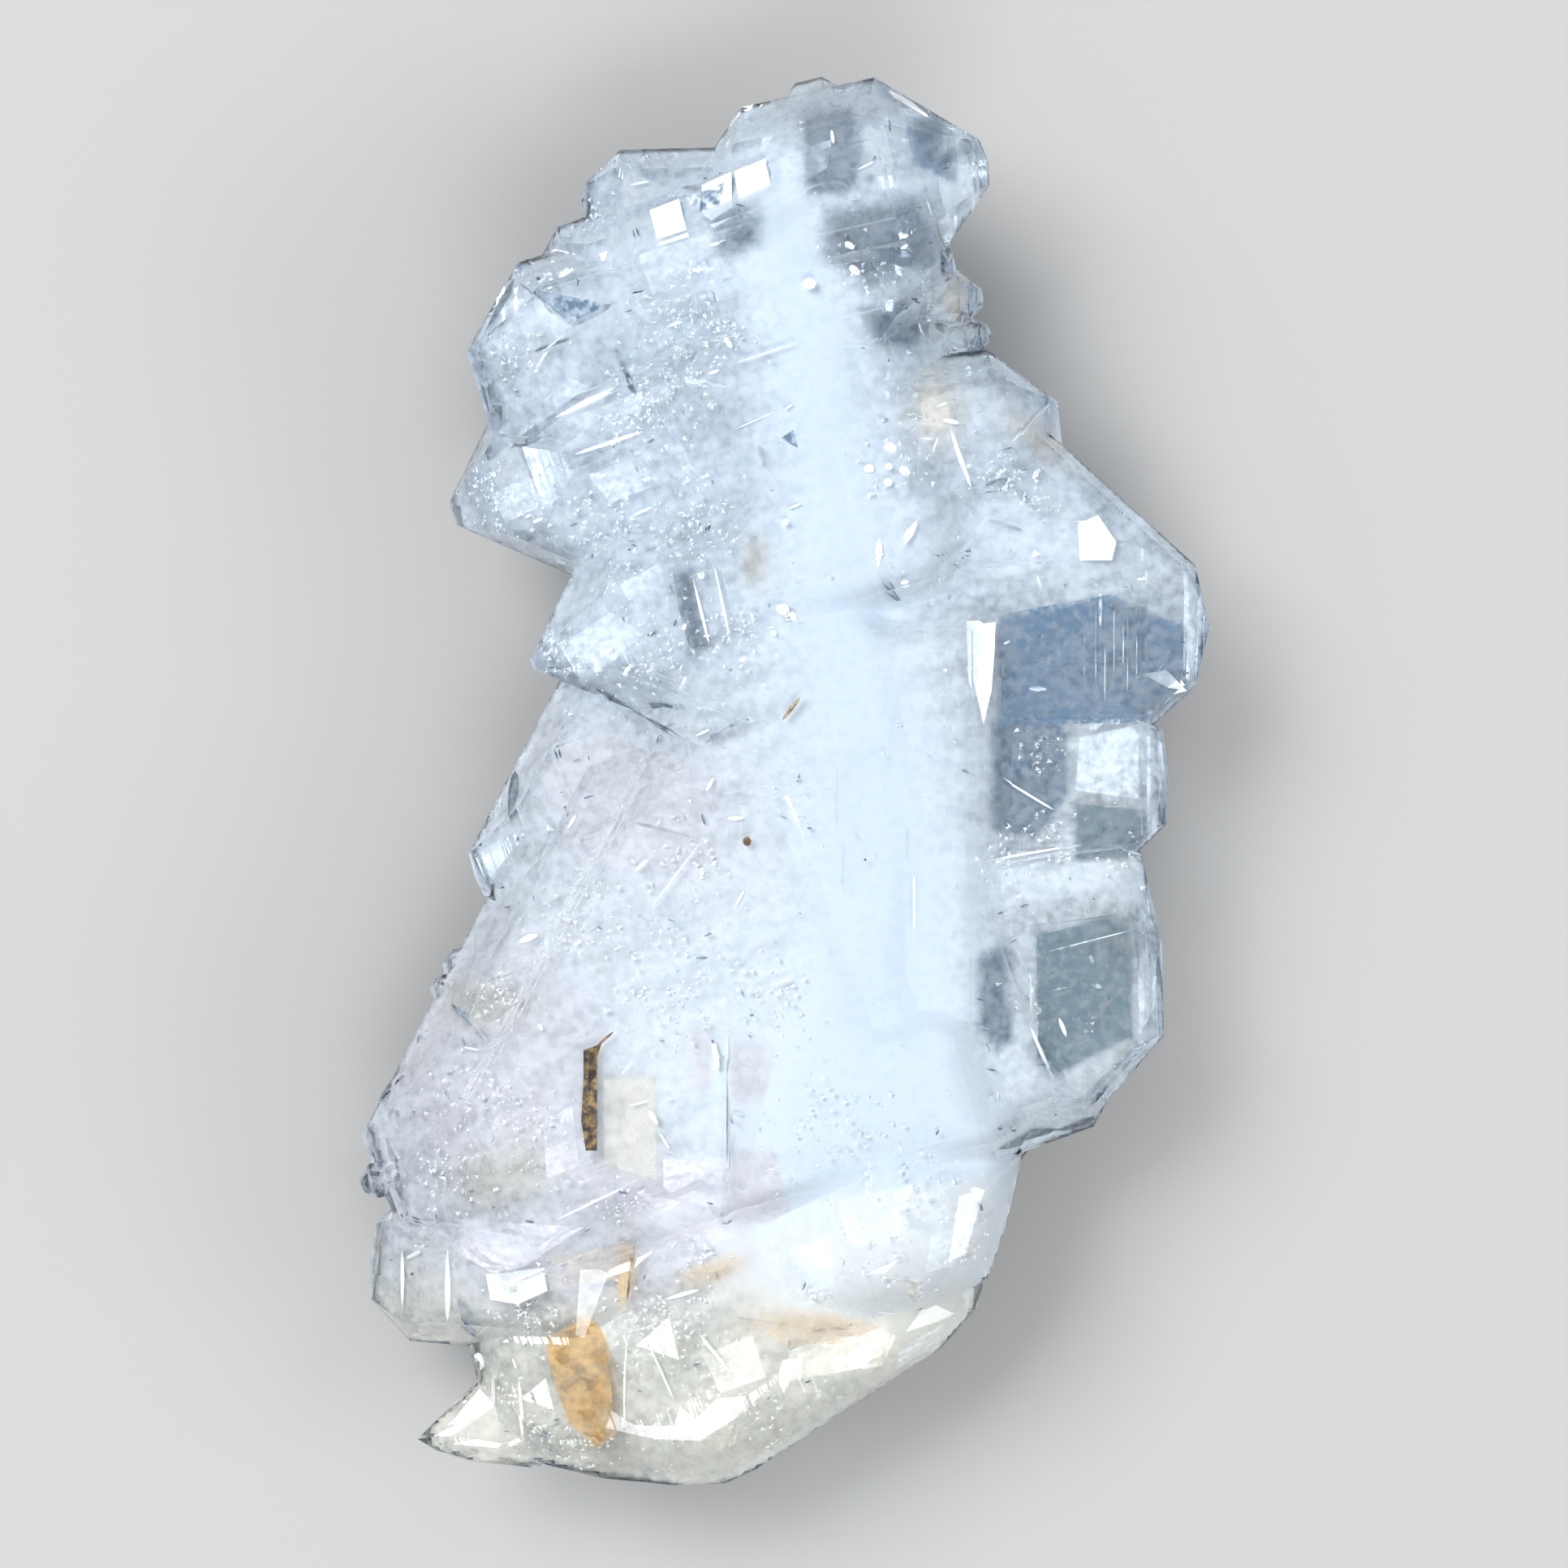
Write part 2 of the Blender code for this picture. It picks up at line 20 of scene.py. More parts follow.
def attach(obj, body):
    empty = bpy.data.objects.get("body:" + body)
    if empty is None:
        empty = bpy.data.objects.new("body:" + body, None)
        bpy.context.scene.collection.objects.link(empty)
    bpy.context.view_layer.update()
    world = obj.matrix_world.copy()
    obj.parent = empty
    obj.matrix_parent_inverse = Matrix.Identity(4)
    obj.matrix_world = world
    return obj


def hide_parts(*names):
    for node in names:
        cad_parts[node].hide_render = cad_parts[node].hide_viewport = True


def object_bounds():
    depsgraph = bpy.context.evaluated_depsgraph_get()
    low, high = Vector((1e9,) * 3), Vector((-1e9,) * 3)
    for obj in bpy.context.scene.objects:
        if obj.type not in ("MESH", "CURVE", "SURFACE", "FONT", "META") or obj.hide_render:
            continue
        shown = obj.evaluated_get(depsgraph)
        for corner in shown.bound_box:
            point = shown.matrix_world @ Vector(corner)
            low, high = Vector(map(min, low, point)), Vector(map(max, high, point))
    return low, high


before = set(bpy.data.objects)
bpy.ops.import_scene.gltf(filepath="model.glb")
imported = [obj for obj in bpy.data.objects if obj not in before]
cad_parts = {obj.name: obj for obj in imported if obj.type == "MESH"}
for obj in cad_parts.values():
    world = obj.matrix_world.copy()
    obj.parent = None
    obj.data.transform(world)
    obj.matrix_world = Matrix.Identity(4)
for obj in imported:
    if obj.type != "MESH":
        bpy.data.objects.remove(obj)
CAD_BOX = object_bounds()

MM = 0.001
NODE = "faden_quartz_cluster"
BODY = "root"
LOG = logging.getLogger("faden_quartz")


class Tone(Enum):
    """How a healed crack looks: it shines with a painted glint, it mirrors a dark side as a painted dark
    reflection, or iron has stained it.
    """

    BRIGHT = "bright"
    DARK = "dark"
    BROWN = "brown"


class Hue(Enum):
    """The colours that the milky quartz takes, and two dark ones that are painted shade where the dark background
    shows through clear crystal.
    """

    BLUE = (0.80, 0.90, 1.0)
    WHITE = (0.87, 0.94, 1.0)
    SNOW = (0.95, 0.98, 1.0)
    THREAD = (0.76, 0.87, 0.975)
    PINK = (0.88, 0.86, 0.91)
    BEIGE = (0.72, 0.69, 0.63)
    CREAM = (0.93, 0.91, 0.84)
    SMOKE = (0.12, 0.195, 0.28)
    PAINTED_SHADE_SLATE = (0.14, 0.20, 0.235)
    RUST = (0.70, 0.50, 0.27)
    SAND = (0.70, 0.59, 0.46)


def clear_selection() -> None:
    """Deselects every object and leaves object mode."""
    if bpy.context.object and bpy.context.object.mode != "OBJECT":
        bpy.ops.object.mode_set(mode="OBJECT")
    bpy.ops.object.select_all(action="DESELECT")


def make_active(obj: bpy.types.Object) -> None:
    """Selects one object alone and makes it active."""
    clear_selection()
    obj.select_set(True)
    bpy.context.view_layer.objects.active = obj


def mesh_object(name: str, points: np.ndarray, faces: np.ndarray) -> bpy.types.Object:
    """Makes an object from points in millimetres and faces with equally many corners.

    Args:
        name: the object's name.
        points: an array of n by 3 coordinates.
        faces: an array of m by k point numbers.

    Returns:
        The new object, linked to the scene.
    """
    mesh = bpy.data.meshes.new(name)
    mesh.from_pydata((points * MM).tolist(), [], faces.tolist())
    mesh.update()
    obj = bpy.data.objects.new(name, mesh)
    bpy.context.scene.collection.objects.link(obj)
    return obj


class NodeTools:
    """Short ways to add nodes to one material."""

    def __init__(self, name: str) -> None:
        """Starts a material with an empty node tree.

        Args:
            name: the material's name.
        """
        self.material = bpy.data.materials.new(name)
        self.material.use_nodes = True
        self.tree = self.material.node_tree
        self.tree.nodes.clear()
        self.output = self.tree.nodes.new("ShaderNodeOutputMaterial")

    def add(self, kind: str, **values: object) -> bpy.types.Node:
        """Adds a node and sets its sockets and properties.

        Args:
            kind: the node's type without the ShaderNode prefix.
            values: socket names, with underscores for spaces, or properties of the node.

        Returns:
            The node.
        """
        node = self.tree.nodes.new("ShaderNode" + kind)
        for name, value in values.items():
            socket = node.inputs.get(name.replace("_", " "))
            if socket is None:
                setattr(node, name, value)
            elif isinstance(value, bpy.types.NodeSocket):
                self.tree.links.new(value, socket)
            else:
                socket.default_value = value
        return node

    def link(self, source: bpy.types.NodeSocket, target: bpy.types.NodeSocket) -> None:
        """Links two sockets."""
        self.tree.links.new(source, target)

    def math(self, operation: str, first: object, second: object = 0.0) -> bpy.types.NodeSocket:
        """Adds a Math node.

        Args:
            operation: the node's operation.
            first: a socket or number.
            second: a socket or number.

        Returns:
            The result's socket.
        """
        node = self.tree.nodes.new("ShaderNodeMath")
        node.operation = operation
        for socket, value in zip(node.inputs, (first, second)):
            if isinstance(value, bpy.types.NodeSocket):
                self.tree.links.new(value, socket)
            else:
                socket.default_value = value
        return node.outputs[0]

    def place(self) -> bpy.types.NodeSocket:
        """The Object coordinates."""
        return self.add("TexCoord").outputs["Object"]

    def noise(self, place: bpy.types.NodeSocket, per_mm: float, detail: float = 3.0) -> bpy.types.NodeSocket:
        """Adds a noise pattern.

        Args:
            place: the coordinates.
            per_mm: waves per millimetre.
            detail: the noise's detail.

        Returns:
            The noise's value.
        """
        return self.add("TexNoise", Vector=place, Scale=per_mm / MM, Detail=detail).outputs["Fac"]

    def ramp(
        self, value: bpy.types.NodeSocket, low: float, high: float, first: float = 0.0, last: float = 1.0
    ) -> bpy.types.NodeSocket:
        """Maps a value from one range to another, clamped.

        Args:
            value: the value's socket.
            low: where the result starts to change.
            high: where it stops.
            first: the result at low.
            last: the result at high.

        Returns:
            The result's socket.
        """
        node = self.add("MapRange", Value=value, From_Min=low, From_Max=high, To_Min=first, To_Max=last)
        return node.outputs["Result"]

    def blend(self, share: object, first: object, second: object) -> bpy.types.NodeSocket:
        """Mixes two colours.

        Args:
            share: how much of the second shows.
            first: a colour or socket.
            second: a colour or socket.

        Returns:
            The mixed colour's socket.
        """
        node = self.tree.nodes.new("ShaderNodeMix")
        node.data_type = "RGBA"
        for socket, value in zip((node.inputs[0], node.inputs[6], node.inputs[7]), (share, first, second)):
            if isinstance(value, bpy.types.NodeSocket):
                self.tree.links.new(value, socket)
            else:
                socket.default_value = value
        return node.outputs[2]


@dataclass(frozen=True)
class ClearQuartz:
    """Clear quartz that is faintly blue, with growth lines across the crystals and a yellowish foot."""

    ior: float = 1.544
    absorption: tuple = (0.74, 0.84, 0.93, 1.0)
    absorption_density: float = 62.0
    shade: tuple = (0.90, 0.93, 0.96, 1.0)
    clear: tuple = (1.0, 1.0, 1.0, 1.0)
    foot: tuple = (0.97, 0.93, 0.82, 1.0)
    line_turn: float = math.radians(20)

    def make(self) -> bpy.types.Material:
        """Builds the material.

        Returns:
            The material.
        """
        tools = NodeTools("clear_quartz")
        place = tools.place()
        axes = tools.add("SeparateXYZ", Vector=place)
        ragged = tools.noise(place, 0.6, 1.0)
        height = tools.math("ADD", axes.outputs["Y"], tools.math("MULTIPLY", ragged, 5 * MM))
        at_foot = tools.ramp(height, -17 * MM, -22 * MM)
        colour = tools.blend(at_foot, self.clear, self.foot)
        leaning = tools.math(
            "ADD",
            tools.math("MULTIPLY", axes.outputs["X"], math.cos(self.line_turn)),
            tools.math("MULTIPLY", axes.outputs["Y"], math.sin(self.line_turn)),
        )
        right = tools.ramp(axes.outputs["X"], 3.5 * MM, 4.5 * MM)
        along = tools.math(
            "ADD",
            tools.math("MULTIPLY", axes.outputs["X"], right),
            tools.math("MULTIPLY", leaning, tools.math("SUBTRACT", 1.0, right)),
        )
        lines_at = tools.add("CombineXYZ", X=along, Y=tools.math("MULTIPLY", axes.outputs["Y"], 0.04))
        lines = tools.noise(lines_at.outputs[0], 3.2, 1.0)
        bump = tools.add("Bump", Height=lines, Strength=0.13, Distance=0.06 * MM)
        roughness = tools.ramp(ragged, 0.35, 0.75, 0.0, 0.08)
        shader = tools.add(
            "BsdfPrincipled",
            Base_Color=colour,
            Roughness=roughness,
            IOR=self.ior,
            Transmission_Weight=1.0,
            Normal=bump.outputs[0],
        )
        lit = tools.add("BsdfTransparent", Color=self.shade)
        path = tools.add("LightPath")
        mix = tools.add("MixShader", Fac=path.outputs["Is Shadow Ray"])
        tools.link(shader.outputs[0], mix.inputs[1])
        tools.link(lit.outputs[0], mix.inputs[2])
        tools.link(mix.outputs[0], tools.output.inputs["Surface"])
        volume = tools.add("VolumeAbsorption", Color=self.absorption, Density=self.absorption_density)
        tools.link(volume.outputs[0], tools.output.inputs["Volume"])
        return tools.material


@dataclass(frozen=True)
class Milk:
    """White inclusions: veils that let light through by their density, or solid flecks."""

    name: str
    full: float = 0.0
    pale: float = 0.25
    roughness: float = 0.55
    lean: float = math.radians(20)

    def make(self) -> bpy.types.Material:
        """Builds the material.

        Returns:
            The material.
        """
        tools = NodeTools(self.name)
        place = tools.place()
        grain = tools.noise(place, 2.2, 1.0)
        hue = tools.add("Attribute", attribute_name="hue").outputs["Color"]
        pale = tools.blend(tools.ramp(grain, 0.30, 0.55), hue, (1.0, 1.0, 1.0, 1.0))
        colour = tools.blend(self.pale, hue, pale)
        shader = tools.add(
            "BsdfPrincipled", Base_Color=colour, Roughness=self.roughness, Specular_IOR_Level=0.1
        )
        if self.full:
            share = tools.add("Attribute", attribute_name="milkiness").outputs["Fac"]
            turned = tools.add("VectorRotate", Vector=place, rotation_type="Z_AXIS", Angle=-self.lean)
            stretched = tools.add("Mapping", Vector=turned.outputs[0], Scale=(0.3, 1.0, 0.5))
            wisps = tools.noise(stretched.outputs[0], 0.8, 1.0)
            patchy = tools.math(
                "ADD", tools.ramp(grain, 0.36, 0.64, -0.13, 0.13), tools.ramp(wisps, 0.38, 0.62, -0.09, 0.09)
            )
            thin = tools.math("MULTIPLY", share, tools.math("SUBTRACT", 1.0, share))
            uneven = tools.math("MULTIPLY", tools.math("MULTIPLY", thin, 4.0), patchy)
            milk = tools.math("MULTIPLY", tools.math("ADD", share, uneven), self.full)
            tools.link(milk, shader.inputs["Alpha"])
        tools.link(shader.outputs[0], tools.output.inputs["Surface"])
        return tools.material


@dataclass(frozen=True)
class FrostedFacet:
    """An old crystal face inside the quartz, dusted with one hue, so that it shows as a thin film; the smoke and
    slate films are painted shade, dark where the background shows through clear crystal.
    """

    hue: Hue
    share: float
    uneven: float

    def make(self) -> bpy.types.Material:
        """Builds the material.

        Returns:
            The material.
        """
        tools = NodeTools(self.hue.name.lower() + "_film")
        place = tools.place()
        grain = tools.noise(place, 2.8, 1.0)
        shaded = tuple(0.85 * part for part in self.hue.value)
        colour = tools.blend(tools.ramp(grain, 0.30, 0.70), (*shaded, 1.0), (*self.hue.value, 1.0))
        dust = tools.ramp(grain, 0.36, 0.64, self.share - self.uneven, self.share + self.uneven)
        fading = tools.ramp(tools.noise(place, 0.30, 0.0), 0.36, 0.60, 0.15, 1.0)
        film = tools.math("MULTIPLY", dust, fading)
        shader = tools.add(
            "BsdfPrincipled", Base_Color=colour, Roughness=0.45, Specular_IOR_Level=0.15, Alpha=film
        )
        tools.link(shader.outputs[0], tools.output.inputs["Surface"])
        return tools.material


@dataclass(frozen=True)
class HealedCrack:
    """The flat side of a healed crack, with a fine grain; its bright tone is a painted glint and its dark tone a
    painted dark reflection.
    """

    tone: Tone

    def make(self) -> bpy.types.Material:
        """Builds the material.

        Returns:
            The material.
        """
        bright = self.tone is Tone.BRIGHT
        tools = NodeTools(self.tone.value + "_crack")
        place = tools.place()
        grain = tools.noise(place, 2.4, 3.0)
        first, second = {
            Tone.BRIGHT: ((0.90, 0.96, 1.0, 1.0), (1.0, 1.0, 1.0, 1.0)),
            Tone.DARK: ((0.10, 0.13, 0.17, 1.0), (0.30, 0.38, 0.46, 1.0)),
            Tone.BROWN: ((0.14, 0.08, 0.03, 1.0), (0.46, 0.34, 0.22, 1.0)),
        }[self.tone]
        colour = tools.blend(tools.ramp(grain, 0.35, 0.65), first, second)
        bump = tools.add("Bump", Height=grain, Strength=0.4, Distance=0.05 * MM)
        shader = tools.add(
            "BsdfPrincipled", Base_Color=colour, Roughness=0.35 if bright else 0.2, Normal=bump.outputs[0]
        )
        tools.link(shader.outputs[0], tools.output.inputs["Surface"])
        return tools.material


@dataclass(frozen=True)
class Iron:
    """Iron that stains the quartz: orange where it is thin, brown and black where it is thick."""

    name: str
    thin: tuple
    thick: tuple
    scale: float = 1.6
    least: float = 1.0

    def make(self) -> bpy.types.Material:
        """Builds the material.

        Returns:
            The material.
        """
        tools = NodeTools(self.name)
        place = tools.place()
        grain = tools.noise(place, self.scale, 5.0)
        colour = tools.blend(tools.ramp(grain, 0.44, 0.60), self.thin, self.thick)
        bump = tools.add("Bump", Height=grain, Strength=0.8, Distance=0.1 * MM)
        shader = tools.add("BsdfPrincipled", Base_Color=colour, Roughness=0.6, Normal=bump.outputs[0])
        if self.least < 1.0:
            ragged = tools.noise(place, 0.9, 2.0)
            tools.link(tools.ramp(ragged, 0.38, 0.52, self.least, 1.0), shader.inputs["Alpha"])
        tools.link(shader.outputs[0], tools.output.inputs["Surface"])
        return tools.material


@dataclass(frozen=True)
class Table:
    """The pale, plain floor."""

    colour: tuple = (0.38, 0.37, 0.36, 1.0)

    def make(self) -> bpy.types.Material:
        """Builds the material.

        Returns:
            The material.
        """
        tools = NodeTools("pale_table")
        grain = tools.noise(tools.place(), 0.4, 1.0)
        bump = tools.add("Bump", Height=grain, Strength=0.05, Distance=0.1 * MM)
        shader = tools.add(
            "BsdfPrincipled", Base_Color=self.colour, Roughness=0.75, Normal=bump.outputs[0]
        )
        tools.link(shader.outputs[0], tools.output.inputs["Surface"])
        return tools.material


@dataclass
class CrystalBody:
    """The clear crystals, as one closed body with fine bevels on its edges."""

    flat_angle: float = math.radians(0.3)
    bevel_width: float = 0.08
    bevel_angle: float = math.radians(12)
    skin: float = 0.04
    tucks: tuple = (
        (0, 0), (0, 0.1), (0, 0.2), (0, 0.4), (0, 0.7), (0.2, 0.3), (0.4, 0.3), (0.6, 0.3), (0.8, 0.3), (0.95, 0.5),
    )
    shell: bpy.types.Object = field(init=False)
    tree: BVHTree = field(init=False)

    def build(self) -> None:
        """Copies the solid model's mesh, joins its flat faces and bevels its edges."""
        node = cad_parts[NODE]
        self.shell = node.copy()
        self.shell.data = node.data.copy()
        self.shell.name = "clear_crystals"
        for key in list(self.shell.keys()):
            del self.shell[key]
        self.shell.parent = None
        bpy.context.scene.collection.objects.link(self.shell)
        make_active(self.shell)
        bpy.ops.object.mode_set(mode="EDIT")
        bpy.ops.mesh.select_all(action="SELECT")
        bpy.ops.mesh.remove_doubles(threshold=0.002 * MM)
        bpy.ops.mesh.dissolve_limited(angle_limit=self.flat_angle)
        bpy.ops.object.mode_set(mode="OBJECT")
        self.tree = BVHTree.FromPolygons(
            [vertex.co.copy() for vertex in self.shell.data.vertices],
            [tuple(face.vertices) for face in self.shell.data.polygons],
        )
        bevel = self.shell.modifiers.new("worn edges", "BEVEL")
        bevel.width = self.bevel_width * MM
        bevel.segments = 1
        bevel.limit_method = "ANGLE"
        bevel.angle_limit = self.bevel_angle
        bevel.use_clamp_overlap = True
        bpy.ops.object.modifier_apply(modifier=bevel.name)

    def dress(self) -> None:
        """Gives the body its material and puts it in the solid's place."""
        self.shell.data.materials.clear()
        self.shell.data.materials.append(ClearQuartz().make())
        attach(self.shell, BODY)
        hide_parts(NODE)

    def holds(self, point: Vector) -> bool:
        """Whether a point in metres is inside the body, by counting the faces above it."""
        crossings = 0
        start = point.copy()
        while True:
            spot = self.tree.ray_cast(start, Vector((0, 0, 1)))[0]
            if spot is None:
                return crossings % 2 == 1
            crossings += 1
            start = spot + Vector((0, 0, 0.001 * MM))

    def depth(self, point: Vector) -> float:
        """How far inside the body a point in metres is, in millimetres, and below zero outside."""
        distance = self.tree.find_nearest(point)[3] / MM
        return distance if self.holds(point) else -distance

    def tucked(self, points: np.ndarray) -> np.ndarray:
        """Moves points that stand out of the body down, and towards their middle, until it holds them.

        Args:
            points: n by 3 coordinates of one small piece, in millimetres.

        Returns:
            The points, moved where they had to be.
        """
        middle = points.mean(axis=0)
        moved = points.copy()
        for number, point in enumerate(points):
            for pull, drop in self.tucks:
                moved[number] = point + pull * (middle - point) - (0, 0, drop)
                if self.depth(Vector(moved[number]) * MM) > self.skin:
                    break
        return moved


@dataclass(frozen=True)
class Cloud:
    """A soft milky zone: its middle, its two half sizes, its strength, its colour and its turn."""

    x: float
    y: float
    wide: float
    long: float
    strength: float
    hue: Hue = Hue.WHITE
    turn: float = 0.0


@dataclass(frozen=True)
class Patch:
    """A flat growth sector with straight sides: its corners, its milkiness and its colour."""

    corners: tuple
    milk: float
    hue: Hue
    soft: float = 0.3


THREAD_PATH = (
    (28.0, -0.4, 2.0),
    (25.0, -0.5, 2.2),
    (20.0, 1.2, 2.4),
    (13.0, 2.2, 3.2),
    (6.0, 2.7, 4.0),
    (0.5, 4.1, 4.4),
    (-5.0, 4.6, 4.4),
    (-10.0, 4.8, 4.6),
    (-17.0, 4.0, 5.6),
    (-22.5, 3.0, 4.4),
)

CLOUDS = (
    # white
    Cloud(3.4, -17.5, 6.5, 7.0, 0.7),
    Cloud(4.5, -20.5, 6.0, 3.4, 0.7),
    Cloud(-3.8, -5.8, 6.6, 8.0, 0.35, turn=-20),
    Cloud(-4.2, -12.5, 5.0, 4.0, 0.3),
    # bluish
    Cloud(-7.8, 16.6, 6.5, 6.0, 0.10, Hue.BLUE, 20),
    Cloud(-2.4, 24.5, 8.0, 3.4, 0.20, Hue.BLUE, 20),
    Cloud(-5.6, 7.0, 6.0, 4.0, 0.10, Hue.BLUE, 20),
    # light bands of the right-hand crystals
    Cloud(12.0, 10.4, 7.5, 2.0, 0.35),
    Cloud(12.5, -4.0, 5.0, 1.3, 0.4),
    Cloud(9.5, 15.8, 3.5, 2.4, 0.2, Hue.BLUE),
    # pinkish lower left
    Cloud(-13.0, -13.5, 5.5, 7.5, 0.2, Hue.PINK, -20),
    Cloud(-6.5, -1.0, 4.5, 3.4, -0.05, Hue.PINK, -20),
    Cloud(-6.0, -18.5, 6.5, 2.2, 0.25, Hue.PINK, -20),
    Cloud(-9.0, -21.5, 5.0, 1.8, 0.10, Hue.PINK),
    # beige
    Cloud(-12.2, -17.3, 2.4, 1.5, 0.0, Hue.BEIGE, 20),
    Cloud(-13.0, -9.8, 2.0, 1.0, 0.0, Hue.BEIGE),
    Cloud(6.6, 16.3, 1.3, 1.8, 0.3, Hue.BEIGE),
    Cloud(11.4, 14.9, 2.0, 0.7, 0.2, Hue.BEIGE, -35),
    Cloud(8.0, 21.2, 1.2, 1.8, 0.3, Hue.BEIGE),
    Cloud(-1.2, 9.6, 0.7, 1.2, 0.0, Hue.BEIGE),
    # rust over the foot
    Cloud(-8.5, -26.4, 1.1, 2.8, 0.1, Hue.SAND, 12),
    Cloud(-7.0, -21.6, 0.5, 1.4, 0.1, Hue.RUST),
    Cloud(-3.2, -21.7, 1.6, 0.5, 0.1, Hue.SAND, 20),
    Cloud(1.0, -23.9, 2.6, 0.5, 0.1, Hue.SAND),
)

PATCHES = (
    # clear sectors, given painted shade where the dark background shows through them
    Patch(((0.9, 28.8), (3.3, 29.2), (3.6, 27.2), (3.0, 25.8), (1.0, 25.9)), 0.52, Hue.SMOKE),
    Patch(((5.3, 28.8), (6.8, 28.8), (7.6, 26.0), (5.5, 27.0)), 0.55, Hue.SMOKE),
    Patch(((2.5, 31.0), (4.1, 31.0), (6.0, 29.4), (4.8, 29.2)), 0.35, Hue.SMOKE, 0.4),
    Patch(((9.4, 7.3), (14.3, 8.2), (17.5, 6.9), (17.5, 4.2), (15.7, 2.6), (9.3, 2.4)), 0.56, Hue.SMOKE),
    Patch(((8.9, 2.5), (12.3, 2.9), (12.5, 1.3), (12.6, -0.6), (11.1, -2.5), (8.9, -2.2)), 0.55, Hue.SMOKE),
    Patch(((12.8, -0.9), (15.8, -1.2), (15.8, -3.4), (12.8, -3.5)), 0.50, Hue.PAINTED_SHADE_SLATE),
    Patch(((11.0, -6.7), (14.7, -5.8), (15.4, -6.2), (15.4, -11.3), (11.8, -13.1), (11.0, -12.2)), 0.62, Hue.PAINTED_SHADE_SLATE),
    Patch(((8.4, -7.6), (9.7, -7.2), (10.1, -11.5), (9.3, -11.9), (8.4, -11.0)), 0.52, Hue.SMOKE, 0.5),
    Patch(((8.9, -16.3), (13.7, -14.9), (14.7, -14.5), (13.5, -15.7), (10.3, -16.3)), 0.50, Hue.SMOKE, 0.3),
    Patch(((-3.1, 24.8), (-1.2, 25.0), (-1.2, 23.8), (-2.9, 23.3)), 0.30, Hue.SMOKE, 0.9),
    Patch(((1.9, 25.0), (5.8, 25.6), (6.5, 23.1), (3.7, 21.8), (2.1, 23.0)), 0.32, Hue.SMOKE, 0.9),
    Patch(((3.5, 20.6), (6.4, 21.0), (5.4, 18.9), (4.1, 19.1)), 0.35, Hue.SMOKE, 0.6),
    Patch(((-4.9, 9.2), (-4.2, 9.2), (-3.4, 5.8), (-4.2, 5.6)), 0.30, Hue.SMOKE, 0.4),
    # bright sector over the foot
    Patch(
        (
            (-1.8, -18.8), (-0.9, -22.1), (0.3, -23.0), (3.9, -23.6),
            (5.8, -22.9), (7.6, -21.7), (9.3, -19.5), (9.0, -17.5),
        ),
        0.92, Hue.SNOW, 0.3,
    ),
    # pinkish and beige panes
    Patch(((-4.0, -10.8), (-3.2, -10.8), (-3.2, -13.6), (-4.0, -13.6)), 0.8, Hue.PINK),
    Patch(((-2.4, -11.5), (-0.8, -11.5), (-0.9, -14.0), (-2.4, -14.0)), 0.8, Hue.PINK),
    Patch(((-2.5, -16.1), (-0.4, -16.3), (0.2, -18.8), (-1.4, -19.5), (-2.5, -18.9)), 0.85, Hue.PINK),
    Patch(((-8.0, -13.0), (-5.6, -13.0), (-5.5, -17.6), (-8.0, -16.9)), 0.78, Hue.BEIGE, 0.5),
)

